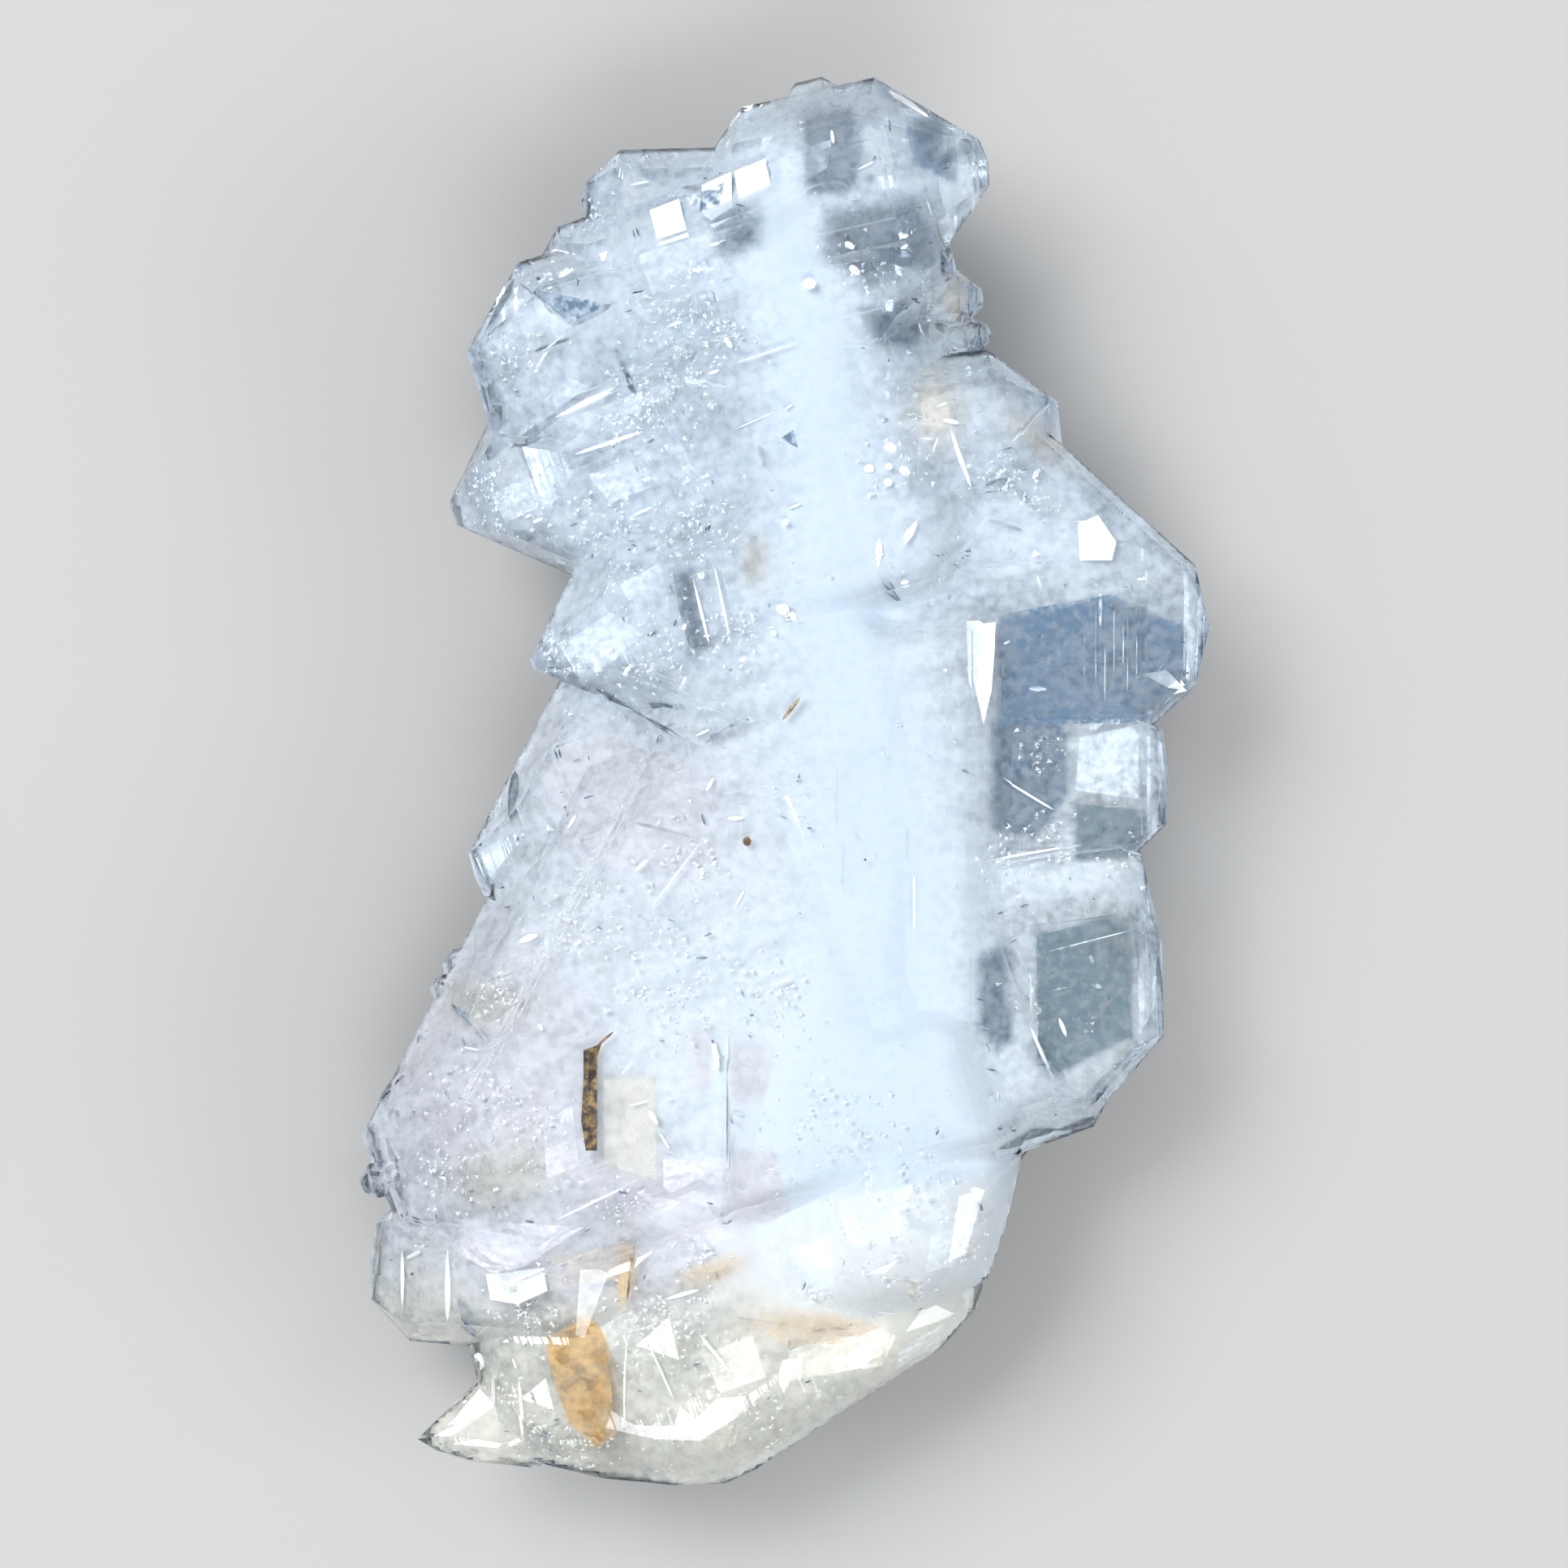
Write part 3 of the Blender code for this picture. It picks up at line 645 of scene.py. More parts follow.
FACETS = {
    # painted shade: dark films where the dark background shows through clear crystal
    Hue.SMOKE: (
        ((9.4, 7.3), (14.3, 8.2), (17.4, 6.9), (17.4, 4.2), (15.7, 2.6), (9.3, 2.4)),
        ((-11.3, 21.6), (-7.7, 20.9), (-9.4, 20.1)),
        ((-12.0, 14.8), (-10.6, 15.7), (-10.0, 14.9)),
        ((5.3, 28.6), (6.7, 28.6), (7.4, 26.2), (5.6, 27.1)),
        ((-3.6, 25.8), (-2.6, 26.2), (-2.8, 25.2), (-3.7, 24.9)),
        ((-0.2, 15.0), (0.4, 15.4), (0.6, 14.6)),
    ),
    # painted shade: dark films where the dark background shows through clear crystal
    Hue.PAINTED_SHADE_SLATE: (
        ((11.1, -6.8), (14.7, -5.9), (15.3, -6.2), (15.3, -11.2), (11.8, -12.9), (11.1, -12.2)),
        ((12.9, -1.0), (15.7, -1.3), (15.7, -3.2), (12.9, -3.4)),
    ),
    Hue.WHITE: (
        # upper crystals
        ((-11.3, 21.6), (-9.5, 19.9), (-11.2, 17.7), (-12.8, 19.3)),
        ((-11.1, 16.2), (-9.4, 17.7), (-8.6, 17.3), (-11.9, 14.8)),
        ((-9.5, 15.9), (-6.2, 17.1), (-6.4, 14.6), (-10.2, 14.6)),
        ((-6.4, 23.1), (-1.2, 24.6), (-2.9, 22.5), (-5.8, 21.4)),
        ((-0.2, 27.3), (2.1, 28.1), (1.9, 26.8), (0.0, 25.7)),
        ((7.5, 28.2), (8.6, 27.7), (8.2, 25.4), (7.6, 25.9)),
        ((-8.6, 13.4), (-4.6, 14.9), (-3.9, 13.6), (-7.6, 12.2)),
        ((-12.9, 12.6), (-10.4, 13.8), (-9.9, 12.4), (-12.2, 11.4)),
        # right-hand rim
        ((17.5, 9.4), (18.4, 7.8), (18.5, 6.6), (17.6, 4.2)),
        ((15.9, 2.0), (16.6, 1.7), (16.7, 0.6), (16.3, -2.2), (15.9, -2.5)),
        ((15.5, -3.8), (16.1, -5.2), (16.4, -7.4), (16.3, -9.8), (15.6, -11.2)),
        ((13.0, 1.9), (15.6, 2.5), (15.6, -0.8), (12.8, -0.4)),
        # left
        ((-9.8, 5.9), (-7.6, 7.4), (-6.2, 6.4), (-8.8, 4.2)),
        ((-7.2, 8.6), (-5.4, 9.6), (-5.0, 7.2), (-6.4, 6.9)),
        # over and on the foot
        ((2.4, -18.4), (5.6, -17.7), (5.0, -19.9), (2.8, -20.3)),
        ((6.4, -19.8), (8.4, -19.6), (7.4, -21.3), (6.2, -21.5)),
        ((0.2, -20.6), (2.0, -20.0), (2.2, -22.2), (0.6, -22.6)),
        ((5.0, -25.0), (7.6, -23.5), (7.2, -24.4), (5.0, -25.8)),
        ((-8.1, -24.0), (-6.6, -23.2), (-6.2, -25.6), (-7.2, -26.0)),
    ),
    Hue.PINK: (
        ((-6.3, -18.0), (-2.2, -19.2), (-1.8, -19.9), (-3.2, -20.4), (-4.9, -19.9), (-6.4, -18.9)),
        ((-14.5, -19.2), (-10.1, -19.5), (-8.7, -19.5), (-11.4, -21.3), (-12.8, -21.6), (-14.0, -20.9)),
        ((-5.3, -16.6), (-2.7, -16.5), (-2.7, -18.7), (-3.9, -18.7), (-5.3, -17.8)),
        ((-10.6, -15.0), (-9.3, -14.2), (-9.0, -16.8), (-10.4, -17.4)),
    ),
    Hue.BEIGE: (
        ((6.0, 16.6), (7.1, 17.1), (7.4, 15.5), (6.1, 15.6)),
        ((-7.9, -13.1), (-5.7, -13.1), (-5.6, -17.5), (-7.9, -16.8)),
        ((7.3, -19.0), (8.0, -18.6), (8.6, -19.2), (8.0, -19.6)),
        ((5.0, -21.9), (5.9, -21.8), (6.1, -22.4), (5.7, -22.9)),
        ((-13.5, -25.9), (-12.8, -25.9), (-12.6, -29.4), (-13.4, -29.4)),
        ((-11.9, -25.2), (-11.3, -25.2), (-11.3, -29.4), (-11.9, -29.4)),
        ((0.0, -26.6), (1.3, -26.6), (2.3, -27.3), (1.9, -27.9), (0.0, -28.4)),
        ((-4.1, -27.6), (-2.2, -27.4), (-2.0, -29.0), (-2.7, -29.5), (-4.1, -29.2)),
        ((-6.6, -25.5), (-5.6, -25.7), (-5.4, -26.2), (-6.4, -26.7)),
    ),
    Hue.CREAM: (
        ((0.2, -25.0), (4.2, -24.1), (4.9, -24.4), (4.3, -25.7), (0.0, -26.4)),
        ((-3.6, -25.2), (-1.4, -24.4), (-0.8, -26.2), (-2.8, -26.9)),
    ),
    Hue.RUST: (
        ((-10.6, -24.6), (-8.8, -23.5), (-7.8, -24.2), (-7.3, -26.6), (-7.3, -28.6), (-8.2, -29.4), (-9.6, -28.2)),
        ((-7.2, -20.4), (-6.6, -20.4), (-6.8, -22.6), (-7.2, -23.4), (-7.3, -22.0)),
    ),
    Hue.SAND: (
        ((-10.4, -20.9), (-7.0, -20.4), (-6.6, -20.4), (-6.7, -22.4), (-7.6, -21.9), (-10.2, -22.4)),
        ((-4.6, -21.6), (-2.2, -20.7), (-1.8, -21.1), (-4.0, -21.9)),
        ((-1.5, -23.8), (0.0, -23.2), (1.1, -23.3), (4.2, -24.0), (2.6, -24.7), (0.2, -24.9)),
    ),
}
FACET_SHARES = {
    Hue.SMOKE: (0.40, 0.36), Hue.PAINTED_SHADE_SLATE: (0.40, 0.30), Hue.WHITE: (0.21, 0.13), Hue.PINK: (0.48, 0.12),
    Hue.BEIGE: (0.36, 0.14), Hue.CREAM: (0.55, 0.14), Hue.SAND: (0.38, 0.16), Hue.RUST: (0.42, 0.22),
}

# Middles and sizes of the groups of painted glints: white flecks where small cracks flash.
PAINTED_GLINT_GROUPS = (
    # upper crystals
    (-4.6, 20.6, 1.4), (-2.5, 19.4, 0.9), (3.3, 22.7, 0.9), (-11.8, 18.8, 0.9), (-13.1, 13.2, 0.9),
    (-5.4, 17.9, 1.8), (-6.2, 16.1, 1.4), (-11.2, 22.5, 0.7), (-8.5, 24.8, 0.9), (4.6, 14.0, 1.0),
    (-12.4, 11.6, 1.2), (-8.0, 10.8, 1.6), (-3.6, 11.2, 1.4), (9.6, 13.3, 0.8), (10.9, 12.3, 0.6),
    # right
    (11.2, 1.3, 0.8), (10.8, -9.8, 0.6), (11.8, -2.9, 1.0), (13.2, -10.5, 0.5), (9.6, -3.4, 0.9), (15.2, -3.4, 0.6),
    # left
    (-10.2, 4.9, 1.2), (-6.0, 5.8, 1.6), (-2.4, 6.2, 1.0), (-4.2, -3.4, 1.4), (-8.8, -6.2, 1.6),
    (-13.4, -13.6, 1.4), (-11.0, -15.6, 1.6), (-14.6, -17.4, 1.0), (-7.0, -18.6, 0.9), (-12.4, -9.6, 0.9),
    (-4.6, -8.4, 1.8), (-0.6, -9.6, 1.2), (2.2, -15.4, 1.6), (6.2, -17.6, 1.2),
    # foot
    (-6.3, -23.5, 1.2), (-3.9, -20.9, 0.8), (-3.4, -26.7, 0.9), (-5.3, -28.5, 0.7), (-10.6, -28.6, 0.9),
    (-12.1, -26.9, 0.6), (-11.1, -23.7, 1.1), (1.3, -22.6, 0.6), (7.6, -20.4, 0.6), (-2.5, -25.2, 0.9),
    (-8.9, -29.5, 0.8), (-6.0, -24.9, 0.9), (-4.4, -23.8, 1.0), (4.0, -20.6, 1.2), (-1.2, -27.8, 0.9),
)


class Relief:
    """The height of the crystals' front over the table, on an even grid."""

    def __init__(self, body: CrystalBody, spacing: float) -> None:
        """Looks straight down on the body from each point of the grid.

        Args:
            body: the clear crystals.
            spacing: the grid's step in millimetres.
        """
        low, high = (np.array(corner) / MM for corner in CAD_BOX)
        self.body = body
        self.spacing = spacing
        self.across = np.arange(low[0], high[0] + spacing, spacing)
        self.along = np.arange(low[1], high[1] + spacing, spacing)
        self.height = np.full((len(self.along), len(self.across)), np.nan)
        down = Vector((0, 0, -1))
        for row, y in enumerate(self.along):
            for column, x in enumerate(self.across):
                spot = body.tree.ray_cast(Vector((x, y, 2 * high[2])) * MM, down)[0]
                if spot is not None:
                    self.height[row, column] = spot.z / MM

    def at(self, x: np.ndarray, y: np.ndarray) -> np.ndarray:
        """The front's height at each place, read from the nearest point of the grid.

        Args:
            x: places across, in millimetres.
            y: places along, in millimetres.

        Returns:
            The heights, with the middle height where there is nothing.
        """
        columns = np.clip(np.rint((np.asarray(x) - self.across[0]) / self.spacing), 0, len(self.across) - 1)
        rows = np.clip(np.rint((np.asarray(y) - self.along[0]) / self.spacing), 0, len(self.along) - 1)
        found = self.height[rows.astype(int), columns.astype(int)]
        return np.where(np.isnan(found), np.nanmedian(self.height), found)

    def covers(self, x: np.ndarray, y: np.ndarray) -> bool:
        """Whether the crystals lie under every one of the places, and a little round them."""
        columns = np.rint((np.asarray(x) - self.across[0]) / self.spacing).astype(int)
        rows = np.rint((np.asarray(y) - self.along[0]) / self.spacing).astype(int)
        rim = 3
        if min(columns.min(), rows.min()) < rim:
            return False
        if columns.max() > len(self.across) - 1 - rim or rows.max() > len(self.along) - 1 - rim:
            return False
        steps = [(row, column) for row in (-rim, 0, rim) for column in (-rim, 0, rim)]
        return not any(np.isnan(self.height[rows + row, columns + column]).any() for row, column in steps)

    def sunk(self, rounds: int) -> np.ndarray:
        """The front's height, lowered to its lowest neighbours and then smoothed.

        Args:
            rounds: how often it is smoothed.

        Returns:
            The heights on the grid.
        """
        filled = np.where(np.isnan(self.height), np.nanmedian(self.height), self.height)
        filled = np.min(self.neighbours(filled), axis=0)
        for _ in range(rounds):
            filled = np.mean(self.neighbours(filled), axis=0)
        return filled

    @staticmethod
    def neighbours(grid: np.ndarray) -> np.ndarray:
        """The grid shifted to each of its nine neighbours.

        Args:
            grid: the heights.

        Returns:
            Nine grids.
        """
        wide = np.pad(grid, 1, mode="edge")
        rows, columns = grid.shape
        return np.array([wide[i : i + rows, j : j + columns] for i in range(3) for j in range(3)])


class MilkField:
    """How milky the quartz is at a place, and its colour, from the thread, the clouds and the patches."""

    base: float = 0.31
    foot_base: float = 0.43

    def __init__(self, body: CrystalBody) -> None:
        """Keeps the body that holds the milk.

        Args:
            body: the clear crystals.
        """
        self.body = body
        path = np.array(sorted(THREAD_PATH))
        self.path_y, self.path_x, self.path_wide = path.T

    @staticmethod
    def inside(patch: Patch, x: np.ndarray, y: np.ndarray) -> np.ndarray:
        """How much each place belongs to a patch, from 0 to 1 over its soft edge.

        Args:
            patch: the patch.
            x: places across, in millimetres.
            y: places along, in millimetres.

        Returns:
            The shares.
        """
        corners = np.array(patch.corners)
        following = np.roll(corners, -1, axis=0)
        turning = np.sign(np.sum(corners[:, 0] * following[:, 1] - following[:, 0] * corners[:, 1]))
        least = np.full(np.shape(x), np.inf)
        for start, end in zip(corners, following):
            edge = (end - start) / np.linalg.norm(end - start) * turning
            least = np.minimum(least, (y - start[1]) * edge[0] - (x - start[0]) * edge[1])
        return np.clip(0.5 + least / patch.soft, 0, 1)

    @staticmethod
    def near(cloud: Cloud, x: np.ndarray, y: np.ndarray) -> np.ndarray:
        """How much each place belongs to a cloud, from 1 in its middle to 0 far away.

        Args:
            cloud: the cloud.
            x: places across, in millimetres.
            y: places along, in millimetres.

        Returns:
            The shares.
        """
        turn = math.radians(cloud.turn)
        along = (x - cloud.x) * math.cos(turn) + (y - cloud.y) * math.sin(turn)
        across = (y - cloud.y) * math.cos(turn) - (x - cloud.x) * math.sin(turn)
        return np.exp(-1.2 * ((along / cloud.wide) ** 2 + (across / cloud.long) ** 2))

    def thread(self, x: np.ndarray, y: np.ndarray) -> np.ndarray:
        """How dense the white thread is at each place.

        Args:
            x: places across, in millimetres.
            y: places along, in millimetres.

        Returns:
            The densities, 1 in its middle.
        """
        middle = np.interp(y, self.path_y, self.path_x)
        wide = np.interp(y, self.path_y, self.path_wide)
        ends = np.clip((y + 25) / 4, 0, 1) * np.clip((29 - y) / 4, 0, 1)
        return np.exp(-(np.abs(x - middle) / wide) ** 2.1) * ends

    def share(self, x: np.ndarray, y: np.ndarray) -> np.ndarray:
        """How milky each place is.

        Args:
            x: places across, in millimetres.
            y: places along, in millimetres.

        Returns:
            The densities, from 0 to 1.
        """
        base = np.interp(y, (-24, -21), (self.foot_base, self.base))
        total = base + (1 - base) * self.thread(x, y)
        for cloud in CLOUDS:
            total = total + cloud.strength * self.near(cloud, x, y)
        total = np.clip(total, 0, 1)
        # The smoke and slate patches set the milkiness that carries their painted shade.
        for patch in PATCHES:
            total = total + (patch.milk - total) * self.inside(patch, x, y)
        return total

    def hue(self, x: np.ndarray, y: np.ndarray) -> np.ndarray:
        """The milk's colour at each place.

        Args:
            x: places across, in millimetres.
            y: places along, in millimetres.

        Returns:
            Red, green, blue and 1 for each place.
        """
        heights = (-23.5, -20.5, 4.0, 14.0)
        stops = np.array([Hue.CREAM.value, Hue.WHITE.value, Hue.WHITE.value, Hue.BLUE.value])
        colour = np.stack([np.interp(y + 0.8 * np.sin(0.9 * x), heights, band) for band in stops.T], axis=-1)
        for cloud in CLOUDS:
            if cloud.hue is not Hue.WHITE:
                share = np.clip(1.3 * self.near(cloud, x, y), 0, 1)[..., None]
                colour = colour + (np.array(cloud.hue.value) - colour) * share
        white = np.clip(1.4 * self.thread(x, y) - 0.4, 0, 1)[..., None]
        colour = colour + (np.array(Hue.THREAD.value) - colour) * white * (y > -20)[..., None]
        # The smoke and slate patches paint shade into the milk where the dark background shows through clear
        # crystal.
        for patch in PATCHES:
            share = self.inside(patch, x, y)[..., None]
            colour = colour + (np.array(patch.hue.value) - colour) * share
        return np.concatenate([colour, np.ones_like(colour[..., :1])], axis=-1)

    def depths(self, points: np.ndarray) -> np.ndarray:
        """How deep inside the body each place is, in millimetres.

        Args:
            points: n by 3 coordinates in millimetres.

        Returns:
            n numbers, below zero outside.
        """
        return np.array([self.body.depth(Vector(point) * MM) for point in points])

    def colour_points(self, piece: bpy.types.Object) -> None:
        """Writes the milk's colour on every point of a piece.

        Args:
            piece: the piece.
        """
        places = np.empty(3 * len(piece.data.vertices))
        piece.data.vertices.foreach_get("co", places)
        x, y, _ = places.reshape(-1, 3).T / MM
        hue = piece.data.attributes.new("hue", "FLOAT_COLOR", "POINT")
        hue.data.foreach_set("color", self.hue(x, y).astype(np.float32).ravel())


@dataclass
class Veils:
    """Thin milky sheets inside the crystals, each at its own depth under the front."""

    milk: MilkField
    relief: Relief
    depths: tuple = (0.5, 1.2, 3.4)
    full: tuple = (0.70, 0.95, 0.90)
    rounds: tuple = (1, 12, 24)
    cover: float = 0.35
    wave: float = 0.12
    margin: float = 0.05
    fade: float = 0.30
    least: float = 0.03

    def build(self) -> list[bpy.types.Object]:
        """Makes one sheet for each depth.

        Returns:
            The sheets.
        """
        close = self.relief.sunk(rounds=0) - self.cover
        x, y = np.meshgrid(self.relief.across, self.relief.along)
        rows, columns = x.shape
        index = np.arange(rows * columns).reshape(rows, columns)
        corners = (index[:-1, :-1], index[:-1, 1:], index[1:, 1:], index[1:, :-1])
        quads = np.stack([corner.ravel() for corner in corners], axis=1)
        sheets = []
        for number, (depth, rounds) in enumerate(zip(self.depths, self.rounds)):
            ripple = self.wave * depth * np.sin(0.9 * x + number) * np.cos(0.7 * y + 2 * number)
            z = np.minimum(self.relief.sunk(rounds) - depth + ripple, close)
            points = np.stack([x.ravel(), y.ravel(), z.ravel()], axis=1)
            inside = self.milk.depths(points)
            share = self.milk.share(x.ravel(), y.ravel()) * np.clip((inside - self.margin) / self.fade, 0, 1)
            kept = quads[(inside[quads].min(axis=1) > 0) & (share[quads].max(axis=1) > self.least)]
            used = np.unique(kept)
            lookup = np.full(len(points), -1)
            lookup[used] = np.arange(len(used))
            sheet = mesh_object(f"milky_veil_{number + 1}", points[used], lookup[kept])
            milkiness = sheet.data.attributes.new("milkiness", "FLOAT", "POINT")
            milkiness.data.foreach_set("value", share[used].astype(np.float32))
            self.milk.colour_points(sheet)
            sheet.data.shade_smooth()
            sheets.append(sheet)
        return sheets

    def dress(self, sheets: list[bpy.types.Object]) -> None:
        """Gives the sheets their material and their place in the body.

        Args:
            sheets: what build returned.
        """
        for sheet, full in zip(sheets, self.full):
            sheet.data.materials.append(Milk(sheet.name, full=full).make())
            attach(sheet, BODY)


@dataclass
class Flecks:
    """Tiny white flecks, thrown by the milkiness of each place."""

    name: str
    milk: MilkField
    count: int
    size: tuple
    seed: int
    margin: float = 0.2
    spared: float = 0.8
    pale: float = 0.25

    def throw(self, draw: np.random.Generator) -> np.ndarray:
        """Draws places by the milkiness of the quartz, more outside the thread.

        Args:
            draw: the source of random numbers.

        Returns:
            n by 3 coordinates in millimetres, some of them outside the body.
        """
        low, high = (np.array(corner) / MM for corner in CAD_BOX)
        tries = draw.uniform(low, high, (self.count * 4, 3))
        x, y, _ = tries.T
        likely = self.milk.share(x, y) * (1 - self.spared * self.milk.thread(x, y))
        return tries[draw.random(len(tries)) < likely]

    def build(self) -> bpy.types.Object:
        """Models one fleck and copies it to every place that is drawn.

        Returns:
            All the flecks as one object.
        """
        draw = np.random.default_rng(self.seed)
        chosen = np.zeros((0, 3))
        while len(chosen) < self.count:
            tries = self.throw(draw)
            chosen = np.concatenate([chosen, tries[self.milk.depths(tries) > self.margin]])
        chosen = chosen[: self.count]
        fleck, faces = self.one_fleck()
        turns = self.random_turns(draw, len(chosen))
        sizes = draw.uniform(*self.size, len(chosen))
        points = np.einsum("nij,kj->nki", turns, fleck) * sizes[:, None, None] + chosen[:, None, :]
        numbers = faces[None] + (np.arange(len(chosen)) * len(fleck))[:, None, None]
        flecks = mesh_object(self.name, points.reshape(-1, 3), numbers.reshape(-1, 3))
        self.milk.colour_points(flecks)
        return flecks

    @staticmethod
    def one_fleck() -> tuple[np.ndarray, np.ndarray]:
        """One fleck: a flat splinter with four faces.

        Returns:
            Its corners, about one unit across, and its faces.
        """
        corners = np.array([(0.6, 0, 0), (-0.4, 0.35, 0), (-0.3, -0.4, 0.05), (-0.05, 0.0, 0.22)])
        faces = np.array([(0, 2, 1), (0, 1, 3), (1, 2, 3), (2, 0, 3)])
        return corners, faces

    def random_turns(self, draw: np.random.Generator, count: int) -> np.ndarray:
        """Random rotations.

        Args:
            draw: the source of random numbers.
            count: how many.

        Returns:
            count matrices of 3 by 3.
        """
        axes = draw.normal(size=(3, count))
        x, y, z = axes / np.linalg.norm(axes, axis=0)
        return self.turned(draw.uniform(0, 2 * math.pi, count), x, y, z)

    @staticmethod
    def turned(angle: np.ndarray, x: np.ndarray, y: np.ndarray, z: np.ndarray) -> np.ndarray:
        """The rotations about axes of length one.

        Args:
            angle: the angles.
            x: the axes' first coordinates.
            y: their second ones.
            z: their third ones.

        Returns:
            One matrix of 3 by 3 for each angle.
        """
        w = np.cos(angle / 2)
        x, y, z = (side * np.sin(angle / 2) for side in (x, y, z))
        rows = (
            (1 - 2 * (y * y + z * z), 2 * (x * y - z * w), 2 * (x * z + y * w)),
            (2 * (x * y + z * w), 1 - 2 * (x * x + z * z), 2 * (y * z - x * w)),
            (2 * (x * z - y * w), 2 * (y * z + x * w), 1 - 2 * (x * x + y * y)),
        )
        return np.moveaxis(np.array(rows), 2, 0)

    def dress(self, flecks: bpy.types.Object) -> None:
        """Gives the flecks their material and their place in the body.

        Args:
            flecks: what build returned.
        """
        flecks.data.materials.append(Milk(self.name + "_white", pale=self.pale).make())
        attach(flecks, BODY)


@dataclass
class PaintedGlintFlecks(Flecks):
    """Bright white flecks in close groups near the front: painted glints where small cracks flash."""

    relief: Relief | None = None
    under: tuple = (0.15, 0.8)
    most_lean: float = math.radians(28)

    def throw(self, draw: np.random.Generator) -> np.ndarray:
        """Draws places round the middles of the groups.

        Args:
            draw: the source of random numbers.

        Returns:
            n by 3 coordinates in millimetres, some of them outside the body.
        """
        groups = np.array(PAINTED_GLINT_GROUPS)
        likely = groups[:, 2] ** 1.5
        groups = groups[draw.choice(len(groups), self.count, p=likely / likely.sum())]
        x, y = (groups[:, :2] + draw.normal(0, 0.75, (self.count, 2)) * groups[:, 2:]).T
        return np.stack([x, y, self.relief.at(x, y) - draw.uniform(*self.under, self.count)], axis=1)

    def random_turns(self, draw: np.random.Generator, count: int) -> np.ndarray:
        """Random rotations that keep each fleck's flat side up, within its most lean.

        Args:
            draw: the source of random numbers.
            count: how many.

        Returns:
            count matrices of 3 by 3.
        """
        spin, side = draw.uniform(0, 2 * math.pi, (2, count))
        lean = draw.uniform(0, self.most_lean, count)
        upright = self.turned(spin, np.zeros(count), np.zeros(count), np.ones(count))
        return self.turned(lean, np.cos(side), np.sin(side), np.zeros(count)) @ upright


@dataclass(frozen=True)
class Streak:
    """A thin crack seen edge on: its two ends and its width."""

    x0: float
    y0: float
    x1: float
    y1: float
    width: float


# Healed cracks with a painted dark reflection: their dark colour stands for the dark background they mirror.
DARK_STREAKS = (
    # upper left
    Streak(-11.4, 21.7, -9.4, 20.0, 0.14),
    Streak(-11.7, 21.9, -13.0, 19.2, 0.32),
    Streak(-9.3, 20.0, -7.7, 20.9, 0.32),
    Streak(-7.5, 19.0, -7.1, 17.9, 0.29),
    Streak(-7.1, 18.1, -6.4, 16.9, 0.25),
    Streak(-11.9, 14.7, -9.5, 16.3, 0.5),
    Streak(-9.5, 13.7, -7.7, 14.5, 0.32),
    Streak(-1.1, 14.7, -0.9, 13.7, 0.32),
    Streak(-10.8, 18.9, -9.5, 19.4, 0.18),
    Streak(-12.7, 17.6, -12.3, 16.5, 0.21),
    # middle
    Streak(-3.6, 1.6, -1.7, 2.8, 0.21),
    Streak(-8.1, 4.2, -5.9, 2.8, 0.21),
    Streak(-5.9, 2.8, -3.8, 1.5, 0.21),
    Streak(-5.9, 3.6, -4.3, 3.2, 0.29),
    Streak(-6.7, -1.8, -4.2, -2.4, 0.18),
    Streak(4.1, 9.1, 5.1, 8.0, 0.29),
    Streak(5.4, -2.0, 5.4, -3.5, 0.20),
    Streak(5.7, -4.0, 5.6, -6.2, 0.20),
    Streak(2.3, 0.8, 2.3, -2.4, 0.14),
    Streak(2.6, -2.8, 2.6, -4.8, 0.14),
    Streak(3.1, -2.2, 3.3, -2.6, 0.21),
    Streak(4.0, -3.1, 4.1, -3.5, 0.18),
    Streak(1.5, -13.8, 1.6, -14.4, 0.21),
    Streak(-4.9, 9.2, -4.2, 5.8, 0.32),
    # right
    Streak(8.8, 12.9, 9.8, 13.3, 0.25),
    Streak(9.8, 13.3, 11.2, 11.8, 0.25),
    Streak(13.3, -13.9, 14.1, -13.3, 0.29),
    Streak(9.3, -16.1, 11.9, -15.2, 0.32),
    Streak(11.9, -15.2, 14.3, -14.6, 0.25),
    Streak(8.1, 19.0, 8.4, 19.6, 0.28),
    Streak(15.3, 6.7, 17.3, 5.8, 0.36),
    Streak(8.9, 11.5, 10.5, 11.0, 0.21),
    # lower left
    Streak(-11.7, 0.4, -11.9, -1.6, 0.40),
    Streak(-17.3, -15.8, -16.6, -18.6, 0.3),
    Streak(-14.3, -22.8, -13.6, -24.2, 0.5),
    Streak(-14.5, -9.9, -13.1, -11.2, 0.25),
    Streak(-7.9, -22.2, -7.2, -21.9, 0.43),
    # bulge over the foot
    Streak(5.4, -19.1, 6.3, -19.7, 0.43),
    Streak(7.2, -18.7, 8.5, -19.0, 0.36),
    Streak(5.2, -21.6, 5.6, -22.0, 0.32),
    Streak(5.6, -23.6, 6.1, -23.1, 0.36),
    Streak(-2.2, -23.6, 1.2, -24.1, 0.16),
    Streak(1.2, -24.1, 4.0, -23.8, 0.14),
    Streak(1.2, -22.4, 1.6, -22.8, 0.29),
)
